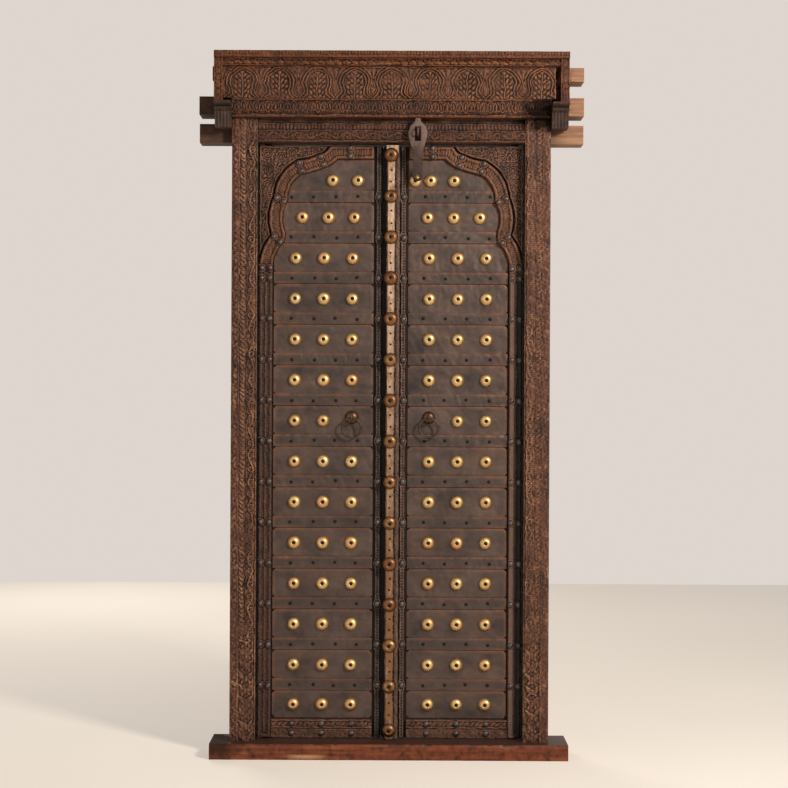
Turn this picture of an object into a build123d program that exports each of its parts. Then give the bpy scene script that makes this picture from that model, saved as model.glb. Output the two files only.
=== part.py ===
"""Carved double-leaf timber door in its own frame, iron-clad and brass-studded, in millimetres.

Frame of reference: +X to the right, +Y into the room behind the door, +Z up.  The origin is in the
middle of the sill's underside, in the plane of the two leaves' pivot axes.  Distances towards the
viewer are called "forward" and are the negative of Y.
"""

import os
from math import cos, pi, sin

from build123d import *

# Frame: posts, sill and lintel
OPENING_WIDTH = 796.0
OPENING_HEIGHT = 1784.0
SILL_HEIGHT = 46.0
SILL_LENGTH = 1060.0
SILL_FORWARD = 106.0
SILL_EDGE_CHAMFER = 5.0
FRAME_BACK = 40.0
JAMB_WIDTH = 76.0
JAMB_FORWARD = 64.0
JAMB_ROPE_WIDTH = 28.0
JAMB_GROOVE_WIDTH = 5.0
JAMB_GROOVE_DEPTH = 7.0
JAMB_SCROLL_DEPTH = 3.0
JAMB_BEAD_WIDTH = 7.0
TENON_WIDTH = 40.0
TENON_THICKNESS = 30.0
TENON_LENGTH = 24.0

# Head of the frame: three beams with horns, and the boards on their fronts
HORN_REACH = 574.0
LINTEL_FORWARD = 30.0
LINTEL_HEIGHT = 56.0
BEAM_FORWARD = 44.0
FRIEZE_BEAM_HEIGHT = 80.0
FRIEZE_HORN_HEIGHT = 54.0
CORNICE_BEAM_HEIGHT = 90.0
CORNICE_BEAM_REACH = 516.0
CORNICE_HORN_HEIGHT = 41.0
CORNICE_LEFT_HORN_REACH = 535.0
ARCHITRAVE_HEIGHT = 70.0
ARCHITRAVE_FORWARD = 60.0
ARCHITRAVE_STEP = 6.0
ARCHITRAVE_UPPER_BAND = 34.0
FRIEZE_HEIGHT = 56.0
FRIEZE_FORWARD = 86.0
FRIEZE_LIP_HEIGHT = 8.0
FRIEZE_LIP_DEPTH = 5.0
CORNICE_REACH = 525.0
CORNICE_BORDER_WIDTH = 25.0
CORNICE_BORDER_FORWARD = 104.0
CORNICE_BOARD_HEIGHT = 94.0
CORNICE_BOARD_FORWARD = 90.0
CORNICE_BEAD_HEIGHT = 22.0
CORNICE_BEAD_FORWARD = 98.0
CORNICE_TOP_HEIGHT = 20.0
CORNICE_TOP_FORWARD = 110.0
CORNICE_TOP_COVE = 9.0
PETAL_COUNT = 9
PETAL_HEAD_STEPS = 8
PETAL_RIB = 8.0
PETAL_RELIEF = 7.0
PETAL_MARGIN = 5.0
PETAL_SHOULDER_SHARE = 0.45
BRACKET_WIDTH = 50.0
BRACKET_DROP = 88.0
BRACKET_FORWARD = 132.0
BRACKET_CAPITAL_HEIGHT = 26.0
BRACKET_CAPITAL_STEP = 7.0
BRACKET_FOOT_SHARE = 0.5

# Leaves: timber core
LEAF_TOP_GAP = 6.0
LEAF_SIDE_GAP = 2.0
LEAF_FORWARD = 12.0
LEAF_BACK = 22.0
PIVOT_INSET = 26.0
PIVOT_STILE_WIDTH = 70.0
MEETING_LINE = -24.0
MEETING_GAP = 1.5
MEETING_BEVEL = 1.4
MEETING_STILE_REACH = 62.0
BOARD_COUNT = 3
BOARD_JOINT = 1.0
BOARD_BACK = 14.0
LEDGE_COUNT = 5
LEDGE_HEIGHT = 80.0
LEDGE_FORWARD_FACE = 22.0
LEDGE_THICKNESS = 17.0
LEDGE_HINGE_INSET = 58.0
LEDGE_MEETING_INSET = 20.0
LEDGE_END_SHARE = 0.07
PINTLE_RADIUS = 8.0
PINTLE_CLEARANCE = 0.05
PINTLE_DEPTH = 24.0
TANG_WIDTH = 14.0
TANG_LENGTH = 60.0
COLLAR_RADIUS = 11.0
COLLAR_HEIGHT = 4.0
COLLAR_SIDES = 8
COLLAR_CLEARANCE = 0.2

# Leaves: cladding on the front
PANEL_INNER = 52.0
PANEL_HINGE_GAP = 4.0
ROW_COUNT = 14
ROW_PITCH = 122.0
TOP_ROW_HEIGHT = 169.0
STRAP_HEIGHT = 31.0
STRAP_THICKNESS = 6.0
PLATE_THICKNESS = 3.0
PLATE_CORNER = 9.0
PLATE_GAP = 1.5
RAIL_COUNT = 2
RAIL_HEIGHT = 26.0
RAIL_GAP = 2.0
RAIL_THICKNESS = 12.0
BAND_WIDTH = 40.0
BAND_THICKNESS = 9.0
BAND_RIB_WIDTH = 15.0
BAND_RIB_HEIGHT = 7.0
BAND_EDGE_GAP = 1.0
ARCH_SPAN = 210.0
ARCH_RISE = 368.0
SPANDREL_THICKNESS = 15.0
SPANDREL_GAP = 5.0
MEETING_STRIP_CENTRE = 37.0
MEETING_STRIP_WIDTH = 13.0
MEETING_STRIP_THICKNESS = 9.0

# Each cusp of the arch: middle and end of one arc, as shares of the span inwards and of the rise
ARCH_ARC_SHARES = [
    ((0.05, 0.150), (0.18, 0.270)),
    ((0.14, 0.430), (0.21, 0.580)),
    ((0.32, 0.765), (0.55, 0.875)),
    ((0.71, 0.893), (0.86, 0.925)),
    ((0.95, 0.952), (1.00, 1.000)),
]

# Studs
BRASS_RADIUS = 20.0
BRASS_SHOULDER_RADIUS = 14.5
BRASS_SHOULDER_HEIGHT = 9.0
BRASS_HEIGHT = 14.0
BRASS_SIDES = 8
STUDS_PER_ROW = 3
STUD_PITCH_SHARE = 0.288
IRON_RADIUS = 7.5
IRON_HEIGHT = 6.0
IRON_SIDES = 6
TOP_ROW_STUD_SHARES = {-1: (0.20, 0.52), 1: (0.084, 0.28, 0.578)}
TOP_ROW_STUD_RISE = 33.0
RAIL_STUD_SHARES = (0.2, 0.5, 0.8)
TOP_BAND_STUD_INSET = 62.0

# Middle post on the right leaf
ASTRAGAL_LEFT = -14.0
ASTRAGAL_RIGHT = 27.0
ASTRAGAL_THICKNESS = 30.0
ASTRAGAL_EDGE_STEP = 6.0
ASTRAGAL_EDGE_DROP = 10.0
BRASS_STRIP_WIDTH = 20.0
BRASS_STRIP_THICKNESS = 2.0
TOP_BOSS_DROP = 30.0

# Ring pulls
RING_COLUMN_RISE = 10.0
RING_RADIUS = 28.5
RING_WIRE_RADIUS = 3.2
EYE_RADIUS = 8.0
EYE_WIRE_RADIUS = 2.5
EYE_SHANK_RADIUS = 3.2
BOSS_HOLE_RADIUS = 3.5
RING_PLAY = 0.5
RING_SIDES = 20
EYE_SIDES = 12
BAR_SIDES = 8
BAR_CHAMFER_SHARE = 0.55

# Hasp on the lintel
HASP_CENTRE = 78.0
HASP_TOP_GAP = 2.0
HASP_LENGTH = 184.0
HASP_THICKNESS = 5.0
HASP_STAND_OFF = 20.0
HASP_CRANK = 30.0
HASP_CRANK_SHARES = (0.45, 0.80)
HASP_HEAD_WIDTH = 56.0
HASP_LOOP_RADIUS = 16.0
HASP_LOOP_HOLE = 7.0
HASP_LOOP_SIDES = 12
HASP_SLOT_WIDTH = 18.0
HASP_SLOT_HEIGHT = 43.0
HASP_SLOT_DROP = 25.0
STAPLE_WIRE = 3.0
STAPLE_HALF_HEIGHT = 10.0
STAPLE_REACH = 14.0
STAPLE_PLAY = 2.8

# Half of the hasp's outline from its tip down: shares of half its head's width, and of its length
HASP_OUTLINE_SHARES = [
    (0.24, 0.00),
    (0.34, 0.06),
    (0.80, 0.13),
    (1.00, 0.22),
    (0.98, 0.30),
    (0.78, 0.41),
    (0.60, 0.52),
    (0.54, 0.66),
    (0.54, 0.90),
]

OVERRUN = 60.0

# Levels and lines that follow from the sizes above
LEFT, RIGHT = -1, 1
SIDE_NAMES = {LEFT: "left", RIGHT: "right"}
half_opening = OPENING_WIDTH / 2
frame_reach = half_opening + JAMB_WIDTH
lintel_bottom = SILL_HEIGHT + OPENING_HEIGHT
architrave_top = lintel_bottom + ARCHITRAVE_HEIGHT
frieze_beam_bottom = lintel_bottom + LINTEL_HEIGHT
frieze_beam_top = frieze_beam_bottom + FRIEZE_BEAM_HEIGHT
cornice_beam_top = frieze_beam_top + CORNICE_BEAM_HEIGHT
frieze_top = architrave_top + FRIEZE_HEIGHT
cornice_board_top = frieze_top + CORNICE_BOARD_HEIGHT
cornice_bead_top = cornice_board_top + CORNICE_BEAD_HEIGHT
cornice_top = cornice_bead_top + CORNICE_TOP_HEIGHT
cornice_board_reach = CORNICE_REACH - CORNICE_BORDER_WIDTH
leaf_edge = half_opening - LEAF_SIDE_GAP
pivot_reach = leaf_edge - PIVOT_INSET
leaf_bottom = SILL_HEIGHT + COLLAR_HEIGHT
leaf_top = lintel_bottom - LEAF_TOP_GAP
stile_line = leaf_edge - PIVOT_STILE_WIDTH
first_strap_bottom = leaf_top - TOP_ROW_HEIGHT
rails_top = leaf_bottom + RAIL_COUNT * (RAIL_HEIGHT + RAIL_GAP)
plate_face = LEAF_FORWARD + PLATE_THICKNESS
band_face = LEAF_FORWARD + BAND_THICKNESS
rib_face = band_face + BAND_RIB_HEIGHT
strip_face = LEAF_FORWARD + MEETING_STRIP_THICKNESS
astragal_face = LEAF_FORWARD + ASTRAGAL_THICKNESS
brass_strip_face = astragal_face + BRASS_STRIP_THICKNESS
panel_outer = leaf_edge - BAND_EDGE_GAP - BAND_WIDTH - PANEL_HINGE_GAP
row_centre = (PANEL_INNER + panel_outer) / 2
panel_width = panel_outer - PANEL_INNER
ring_row = ROW_COUNT // 2 - 1


def block(x_range, forward_range, z_range):
    """A rectangular timber between two planes in each direction."""
    (x0, x1), (f0, f1), (z0, z1) = x_range, forward_range, z_range
    size = Box(abs(x1 - x0), abs(f1 - f0), abs(z1 - z0))
    return Pos((x0 + x1) / 2, -(f0 + f1) / 2, (z0 + z1) / 2) * size


def span(side, inner, outer):
    """X limits of something between two distances from the middle, on one side of the door."""
    return (side * inner, side * outer)


def raised(sketch, back, front):
    """A flat front-view outline, made solid between two forward distances."""
    return extrude(Plane.XZ.offset(back) * sketch, amount=front - back)


def rectangle(x_range, z_range):
    """A front-view rectangle."""
    (x0, x1), (z0, z1) = x_range, z_range
    return Pos((x0 + x1) / 2, (z0 + z1) / 2) * Rectangle(abs(x1 - x0), abs(z1 - z0))


def across(outline, reach):
    """A closed section of (forward, z) points, run along X from -reach to +reach."""
    points = [(-forward, z) for forward, z in outline]
    section = make_face(Polyline(points, close=True))
    return extrude(Plane.YZ.offset(-reach) * section, amount=2 * reach)


# The frame


def make_sill():
    """Threshold beam that runs past both posts, with mortises and pivot sockets."""
    sill = block((-SILL_LENGTH / 2, SILL_LENGTH / 2), (-FRAME_BACK, SILL_FORWARD), (0, SILL_HEIGHT))
    front_edge = sill.edges().filter_by(Axis.X).sort_by(Axis.Z)[-2:].sort_by(Axis.Y)[0]
    sill = chamfer(front_edge, SILL_EDGE_CHAMFER)
    for side in (LEFT, RIGHT):
        sill -= tenon(side, SILL_HEIGHT - TENON_LENGTH, SILL_HEIGHT)
        sill -= socket(side, SILL_HEIGHT - PINTLE_DEPTH, SILL_HEIGHT)
    return sill


def tenon(side, bottom, top):
    """Tenon of a post, centred on the post."""
    middle = half_opening + JAMB_WIDTH / 2
    reach = (middle - TENON_WIDTH / 2, middle + TENON_WIDTH / 2)
    return block(span(side, *reach), (-TENON_THICKNESS / 2, TENON_THICKNESS / 2), (bottom, top))


def socket(side, bottom, top):
    """Running hole for a pintle."""
    hole = Cylinder(PINTLE_RADIUS + PINTLE_CLEARANCE, top - bottom)
    return Pos(side * pivot_reach, 0, (bottom + top) / 2) * hole


def make_jamb(side):
    """Post with a rope band, a scroll band and a bead on its face, tenoned at both ends."""
    rope_end = frame_reach - JAMB_ROPE_WIDTH
    scroll_start = rope_end - JAMB_GROOVE_WIDTH
    bead_start = half_opening + JAMB_BEAD_WIDTH
    groove = JAMB_FORWARD - JAMB_GROOVE_DEPTH
    scroll = JAMB_FORWARD - JAMB_SCROLL_DEPTH
    section = [
        (frame_reach, -FRAME_BACK),
        (frame_reach, JAMB_FORWARD),
        (rope_end, JAMB_FORWARD),
        (rope_end, groove),
        (scroll_start, groove),
        (scroll_start, scroll),
        (bead_start, scroll),
        (bead_start, JAMB_FORWARD),
        (half_opening, JAMB_FORWARD),
        (half_opening, -FRAME_BACK),
    ]
    face = make_face(Polyline([(side * x, -forward) for x, forward in section], close=True))
    post = extrude(Plane.XY.offset(SILL_HEIGHT) * face, amount=architrave_top - SILL_HEIGHT)
    behind = span(side, half_opening - OVERRUN, frame_reach + OVERRUN)
    post -= block(behind, (-FRAME_BACK - OVERRUN, LINTEL_FORWARD), (lintel_bottom, architrave_top + OVERRUN))
    post += tenon(side, SILL_HEIGHT - TENON_LENGTH, SILL_HEIGHT)
    post += tenon(side, lintel_bottom, lintel_bottom + TENON_LENGTH)
    return post


def make_lintel():
    """Lowest head beam: its two horns go into the wall, and the leaves pivot in its underside."""
    lintel = block((-HORN_REACH, HORN_REACH), (-FRAME_BACK, LINTEL_FORWARD), (lintel_bottom, frieze_beam_bottom))
    for side in (LEFT, RIGHT):
        lintel -= tenon(side, lintel_bottom, lintel_bottom + TENON_LENGTH)
        lintel -= socket(side, lintel_bottom, lintel_bottom + PINTLE_DEPTH)
    return lintel


def make_architrave():
    """Carved board on the lintel's front, between the posts, in two stepped bands."""
    upper_start = architrave_top - ARCHITRAVE_UPPER_BAND
    outline = [
        (LINTEL_FORWARD, lintel_bottom),
        (ARCHITRAVE_FORWARD, lintel_bottom),
        (ARCHITRAVE_FORWARD, upper_start),
        (ARCHITRAVE_FORWARD - ARCHITRAVE_STEP, upper_start),
        (ARCHITRAVE_FORWARD - ARCHITRAVE_STEP, architrave_top),
        (LINTEL_FORWARD, architrave_top),
    ]
    return across(outline, half_opening)


def make_frieze_beam():
    """Middle head beam, as tall as the gap between the boards, with lower horns."""
    beam = block((-HORN_REACH, HORN_REACH), (-FRAME_BACK, BEAM_FORWARD), (frieze_beam_bottom, frieze_beam_top))
    horn_bottom = frieze_beam_top - FRIEZE_HORN_HEIGHT
    depth = (-FRAME_BACK - OVERRUN, BEAM_FORWARD + OVERRUN)
    for side in (LEFT, RIGHT):
        outside = span(side, frame_reach, HORN_REACH + OVERRUN)
        beam -= block(outside, depth, (frieze_beam_bottom - OVERRUN, horn_bottom))
    in_front = (LINTEL_FORWARD, BEAM_FORWARD + OVERRUN)
    reach = frame_reach + OVERRUN
    beam -= block((-reach, reach), in_front, (frieze_beam_bottom - OVERRUN, architrave_top))
    return beam


def make_frieze():
    """Carved board above the posts, with a plain lip along its lower edge."""
    face = FRIEZE_FORWARD - FRIEZE_LIP_DEPTH
    lip_top = architrave_top + FRIEZE_LIP_HEIGHT
    outline = [
        (BEAM_FORWARD, architrave_top),
        (FRIEZE_FORWARD, architrave_top),
        (FRIEZE_FORWARD, lip_top),
        (face, lip_top),
        (face, frieze_top),
        (BEAM_FORWARD, frieze_top),
    ]
    return across(outline, frame_reach)


def make_cornice_beam():
    """Top head beam behind the cornice: the right horn is whole, the left one is cut short."""
    depth = (-FRAME_BACK, BEAM_FORWARD)
    beam = block((-CORNICE_BEAM_REACH, CORNICE_BEAM_REACH), depth, (frieze_beam_top, cornice_beam_top))
    horn = (cornice_beam_top - CORNICE_HORN_HEIGHT, cornice_beam_top)
    return beam + block((-CORNICE_LEFT_HORN_REACH, HORN_REACH), depth, horn)


def make_cornice_board():
    """Petal board: a row of upright petals, each a raised rib round a sunk middle."""
    board = block(
        (-cornice_board_reach, cornice_board_reach),
        (BEAM_FORWARD, CORNICE_BOARD_FORWARD - PETAL_RELIEF),
        (frieze_top, cornice_board_top),
    )
    pitch = 2 * cornice_board_reach / PETAL_COUNT
    outline = petal(pitch - PETAL_MARGIN, CORNICE_BOARD_HEIGHT - 2 * PETAL_MARGIN)
    rib = outline - offset(outline, amount=-PETAL_RIB)
    ribs = Sketch() + [
        Pos((i + 0.5) * pitch - cornice_board_reach, frieze_top + PETAL_MARGIN) * rib
        for i in range(PETAL_COUNT)
    ]
    return board + raised(ribs, CORNICE_BOARD_FORWARD - PETAL_RELIEF, CORNICE_BOARD_FORWARD)


def petal(width, height):
    """One petal on its foot: straight flanks and a round head in short flats."""
    half = width / 2
    shoulder = height * PETAL_SHOULDER_SHARE
    turns = [pi * i / PETAL_HEAD_STEPS for i in range(PETAL_HEAD_STEPS + 1)]
    head = [(half * cos(turn), shoulder + (height - shoulder) * sin(turn)) for turn in turns]
    return make_face(Polyline([(-half, 0), (half, 0)] + head, close=True))


def make_cornice_bead():
    """Narrow bead moulding above the petals."""
    return block(
        (-cornice_board_reach, cornice_board_reach),
        (BEAM_FORWARD, CORNICE_BEAD_FORWARD),
        (cornice_board_top, cornice_bead_top),
    )


def make_cornice_border(side):
    """Upright border that closes one end of the cornice."""
    reach = span(side, cornice_board_reach, CORNICE_REACH)
    return block(reach, (BEAM_FORWARD, CORNICE_BORDER_FORWARD), (frieze_top, cornice_bead_top))


def make_cornice_top():
    """Crown moulding, with a cove under its front edge."""
    cove = CORNICE_TOP_FORWARD - CORNICE_TOP_COVE
    outline = [
        (-FRAME_BACK, cornice_bead_top),
        (cove, cornice_bead_top),
        (CORNICE_TOP_FORWARD, cornice_bead_top + CORNICE_TOP_COVE),
        (CORNICE_TOP_FORWARD, cornice_top),
        (-FRAME_BACK, cornice_top),
    ]
    return across(outline, CORNICE_REACH)


def make_bracket(side):
    """Corbel under one end of the cornice: a stepped capital over a tapered block."""
    bottom = frieze_top - BRACKET_DROP
    capital = frieze_top - BRACKET_CAPITAL_HEIGHT
    foot = BEAM_FORWARD + (BRACKET_FORWARD - BEAM_FORWARD) * BRACKET_FOOT_SHARE
    outline = [
        (BEAM_FORWARD, bottom),
        (foot, bottom),
        (BRACKET_FORWARD - BRACKET_CAPITAL_STEP, capital),
        (BRACKET_FORWARD, capital),
        (BRACKET_FORWARD, frieze_top),
        (BEAM_FORWARD, frieze_top),
    ]
    run = across(outline, BRACKET_WIDTH / 2)
    return Pos(side * (frame_reach + BRACKET_WIDTH / 2), 0, 0) * run


# The leaves' timber


def leaf_inner(side):
    """Distance from the middle to a leaf's meeting edge at its front: negative past the middle."""
    return side * MEETING_LINE if side == RIGHT else -MEETING_LINE + MEETING_GAP


def make_pivot_stile(side):
    """Hinge stile, rounded behind its pivot so that it turns inside the post's reveal."""
    section = [
        Line((stile_line, -LEAF_BACK), (stile_line, LEAF_FORWARD)),
        Line((stile_line, LEAF_FORWARD), (leaf_edge, LEAF_FORWARD)),
        Line((leaf_edge, LEAF_FORWARD), (leaf_edge, 0)),
    ]
    heel = (PIVOT_INSET**2 - LEAF_BACK**2) ** 0.5
    middle = Vector(heel + PIVOT_INSET, -LEAF_BACK).normalized() * PIVOT_INSET
    turn = ThreePointArc(
        (leaf_edge, 0),
        (pivot_reach + middle.X, middle.Y),
        (pivot_reach + heel, -LEAF_BACK),
    )
    close = Line(turn @ 1, (stile_line, -LEAF_BACK))
    face = make_face(Curve() + section + turn + close)
    stile = extrude(Plane.XY.offset(leaf_bottom) * face, amount=leaf_top - leaf_bottom)
    stile = mirror(stile, about=Plane.XZ)
    if side == LEFT:
        stile = mirror(stile, about=Plane.YZ)
    for bottom in (leaf_bottom, leaf_top - TANG_LENGTH):
        stile -= tang(side, bottom)
    return stile


def tang(side, bottom):
    """Square end of a pintle, driven into the pivot stile."""
    return Pos(side * pivot_reach, 0, bottom + TANG_LENGTH / 2) * Box(TANG_WIDTH, TANG_WIDTH, TANG_LENGTH)


def make_meeting_stile(side):
    """Stile at the meeting edge, planed to a slight bevel so that no light shows between the leaves."""
    front = side * leaf_inner(side)
    outline = [
        (side * MEETING_STILE_REACH, LEAF_BACK),
        (side * MEETING_STILE_REACH, -LEAF_FORWARD),
        (front, -LEAF_FORWARD),
        (front + MEETING_BEVEL, LEAF_BACK),
    ]
    face = make_face(Polyline(outline, close=True))
    return extrude(Plane.XY.offset(leaf_bottom) * face, amount=leaf_top - leaf_bottom)


def make_boards(side):
    """Upright boards between the two stiles, thinner than the stiles."""
    width = (stile_line - MEETING_STILE_REACH) / BOARD_COUNT
    boards = []
    for i in range(BOARD_COUNT):
        start = MEETING_STILE_REACH + i * width
        end = start + width - (BOARD_JOINT if i < BOARD_COUNT - 1 else 0)
        boards.append(block(span(side, start, end), (-BOARD_BACK, LEAF_FORWARD), (leaf_bottom, leaf_top)))
    return Compound(children=boards)


def make_ledges(side):
    """Cross battens on the back, nailed over both stiles."""
    start = leaf_inner(side) + LEDGE_MEETING_INSET
    end = pivot_reach - LEDGE_HINGE_INSET
    depth = (-LEDGE_FORWARD_FACE - LEDGE_THICKNESS, -LEDGE_FORWARD_FACE)
    height = leaf_top - leaf_bottom
    first = leaf_bottom + LEDGE_END_SHARE * height
    pitch = (1 - 2 * LEDGE_END_SHARE) * height / (LEDGE_COUNT - 1)
    ledges = []
    for i in range(LEDGE_COUNT):
        middle = first + i * pitch
        levels = (middle - LEDGE_HEIGHT / 2, middle + LEDGE_HEIGHT / 2)
        ledges.append(block(span(side, start, end), depth, levels))
    return Compound(children=ledges)


def make_pintle(side, upper):
    """Iron pivot: a square tang in the stile, an eight-sided collar, and a round journal in the frame."""
    gap = LEAF_TOP_GAP if upper else COLLAR_HEIGHT
    collar = extrude(RegularPolygon(COLLAR_RADIUS, COLLAR_SIDES), amount=gap - COLLAR_CLEARANCE)
    reach = gap + PINTLE_DEPTH - COLLAR_CLEARANCE
    journal = Pos(0, 0, reach / 2) * Cylinder(PINTLE_RADIUS, reach)
    head = collar + journal
    if not upper:
        head = mirror(head, about=Plane.XY)
    seat = leaf_top if upper else leaf_bottom
    bottom = leaf_top - TANG_LENGTH if upper else leaf_bottom
    return tang(side, bottom) + Pos(side * pivot_reach, 0, seat) * head


# The leaves' cladding


def arch_face(side):
    """Front-view area inside the cusped arch, run on past the leaf's middle and foot."""
    spring = leaf_top - ARCH_RISE
    edge = leaf_edge - BAND_EDGE_GAP
    points = [
        [(edge - across_share * ARCH_SPAN, spring + rise_share * ARCH_RISE) for across_share, rise_share in arc]
        for arc in ARCH_ARC_SHARES
    ]
    curve = Curve()
    start = (edge, spring)
    for middle, end in points:
        curve += ThreePointArc(start, middle, end)
        start = end
    far = -half_opening
    foot = leaf_bottom - 2 * OVERRUN
    curve += Polyline([start, (far, leaf_top), (far, foot), (edge, foot), (edge, spring)])
    face = make_face(curve)
    return face if side == RIGHT else mirror(face, about=Plane.YZ)


def arch_inside(side, distance):
    """The arch area drawn in by a distance, or let out by a negative one."""
    return offset(arch_face(side), amount=-distance)


def band_limits(side):
    """Front-view rectangle that the arch band may fill."""
    levels = (leaf_bottom, leaf_top - BAND_EDGE_GAP)
    return rectangle(span(side, PANEL_INNER, leaf_edge - BAND_EDGE_GAP), levels)


def make_arch_band(side):
    """Border moulding that follows the arch and the hinge edge: two ribs on one flat strip."""
    limits = band_limits(side)
    outer = arch_face(side)
    strip = (outer - arch_inside(side, BAND_WIDTH)) & limits
    outer_rib = (outer - arch_inside(side, BAND_RIB_WIDTH)) & limits
    inner_rib = (arch_inside(side, BAND_WIDTH - BAND_RIB_WIDTH) - arch_inside(side, BAND_WIDTH)) & limits
    band = raised(strip, LEAF_FORWARD, band_face)
    return band + raised(outer_rib, band_face, rib_face) + raised(inner_rib, band_face, rib_face)


def make_spandrel(side):
    """Carved corner board above the arch, a finger's width clear of the band."""
    spring = leaf_top - ARCH_RISE
    edge = leaf_edge - BAND_EDGE_GAP
    corner = rectangle(span(side, edge - ARCH_SPAN, edge), (spring, leaf_top - BAND_EDGE_GAP))
    outline = corner - arch_inside(side, -SPANDREL_GAP)
    return raised(outline, LEAF_FORWARD, LEAF_FORWARD + SPANDREL_THICKNESS)


def strap_bottom(row):
    """Lower edge of the strap under a row, counted from the top."""
    return first_strap_bottom - row * ROW_PITCH


def row_levels(row):
    """Lower and upper edge of the plate in one row."""
    top = leaf_top if row == 0 else strap_bottom(row - 1)
    bottom = strap_bottom(row) + STRAP_HEIGHT if row < ROW_COUNT - 1 else rails_top
    return bottom + PLATE_GAP, top - PLATE_GAP


def make_plates(side):
    """Iron sheets, one to a row, with clipped corners, cut to the arch where they meet it."""
    clear = arch_inside(side, BAND_WIDTH + PLATE_GAP)
    plates = []
    for row in range(ROW_COUNT):
        bottom, top = row_levels(row)
        sheet = Rectangle(panel_width, top - bottom)
        sheet = Pos(side * row_centre, (bottom + top) / 2) * chamfer(sheet.vertices(), PLATE_CORNER)
        plates += raised(sheet & clear, LEAF_FORWARD, plate_face).solids()
    return Compound(children=plates)


def make_straps(side):
    """Flat iron straps across the joints between the plates."""
    clear = arch_inside(side, BAND_WIDTH + PLATE_GAP)
    straps = []
    for row in range(ROW_COUNT - 1):
        bottom = strap_bottom(row)
        strap = rectangle(span(side, PANEL_INNER, panel_outer), (bottom, bottom + STRAP_HEIGHT))
        straps += raised(strap & clear, LEAF_FORWARD, LEAF_FORWARD + STRAP_THICKNESS).solids()
    return Compound(children=straps)


def make_foot_rails(side):
    """Two narrow carved rails across the foot of the leaf."""
    rails = []
    edge = leaf_edge - BAND_EDGE_GAP - BAND_WIDTH - PLATE_GAP
    for i in range(RAIL_COUNT):
        bottom = leaf_bottom + i * (RAIL_HEIGHT + RAIL_GAP)
        levels = (bottom, bottom + RAIL_HEIGHT)
        rails.append(block(span(side, PANEL_INNER, edge), (LEAF_FORWARD, LEAF_FORWARD + RAIL_THICKNESS), levels))
    return Compound(children=rails)


def make_meeting_strip(side):
    """Narrow raised strip up the meeting stile, under its line of iron studs."""
    reach = (MEETING_STRIP_CENTRE - MEETING_STRIP_WIDTH / 2, MEETING_STRIP_CENTRE + MEETING_STRIP_WIDTH / 2)
    levels = (leaf_bottom, leaf_top - BAND_EDGE_GAP)
    return block(span(side, *reach), (LEAF_FORWARD, strip_face), levels)


# Studs


def faceted_head(courses, height, sides):
    """Hammered head on the origin along +Z: rings of flats from (radius, level) courses up to a point."""
    turns = [2 * pi * i / sides for i in range(sides)]
    rings = [[(radius * cos(turn), radius * sin(turn), level) for turn in turns] for radius, level in courses]
    outlines = [rings[0]]
    for i in range(sides):
        following = (i + 1) % sides
        for lower, upper in zip(rings, rings[1:]):
            outlines.append([lower[i], lower[following], upper[following], upper[i]])
        outlines.append([rings[-1][i], rings[-1][following], (0, 0, height)])
    return Solid(Shell([Face(Wire.make_polygon(outline)) for outline in outlines]))


def make_brass_stud():
    """Domed brass stud in two hammered courses."""
    courses = [(BRASS_RADIUS, 0), (BRASS_SHOULDER_RADIUS, BRASS_SHOULDER_HEIGHT)]
    return faceted_head(courses, BRASS_HEIGHT, BRASS_SIDES)


def make_iron_stud():
    """Small hand-forged iron head."""
    return faceted_head([(IRON_RADIUS, 0)], IRON_HEIGHT, IRON_SIDES)


def placed(head, places):
    """Copies of a head on front-view places of (x, forward, z), facing the viewer."""
    return Compound(children=[Pos(x, -forward, z) * Rot(90, 0, 0) * head for x, forward, z in places])


def stud_level(row):
    """Height of a row's brass studs: the plate's middle, but low in the top row."""
    bottom, top = row_levels(row)
    return bottom + TOP_ROW_STUD_RISE if row == 0 else (bottom + top) / 2


def plate_reach(level):
    """How far out a plate reaches at one height: the arch narrows the first rows."""
    rule = Pos(0, level) * Rectangle(2 * panel_outer, PLATE_GAP)
    return (rule & arch_inside(RIGHT, BAND_WIDTH + PLATE_GAP)).bounding_box().max.X


def brass_places(side):
    """Three studs to a row, spread over the width that the arch leaves; fewer in the top row."""
    places = []
    for row in range(ROW_COUNT):
        level = stud_level(row)
        outer = plate_reach(level)
        middle, width = (PANEL_INNER + outer) / 2, outer - PANEL_INNER
        if row == 0:
            columns = [PANEL_INNER + share * width for share in TOP_ROW_STUD_SHARES[side]]
        else:
            columns = [middle + (i - 1) * STUD_PITCH_SHARE * width for i in range(STUDS_PER_ROW)]
        if row == ring_row:
            columns = columns[1:]
        places += [(side * column, plate_face, level) for column in columns]
    return places


def strap_middles():
    """Heights of the straps' centre lines."""
    return [strap_bottom(row) + STRAP_HEIGHT / 2 for row in range(ROW_COUNT - 1)]


def arch_pair_lines():
    """Distances of the band's two stud lines inside the arch."""
    return (BAND_RIB_WIDTH / 2, BAND_WIDTH - BAND_RIB_WIDTH / 2)


def iron_places(side):
    """Stud pairs on the band at each strap below the arch, and one on the meeting strip at each strap."""
    spring = leaf_top - ARCH_RISE
    edge = leaf_edge - BAND_EDGE_GAP
    places = []
    for level in strap_middles():
        places.append((side * MEETING_STRIP_CENTRE, strip_face, level))
        if level < spring:
            places += [(side * (edge - line), rib_face, level) for line in arch_pair_lines()]
    return places + arch_stud_places(side) + rail_stud_places(side)


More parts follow.
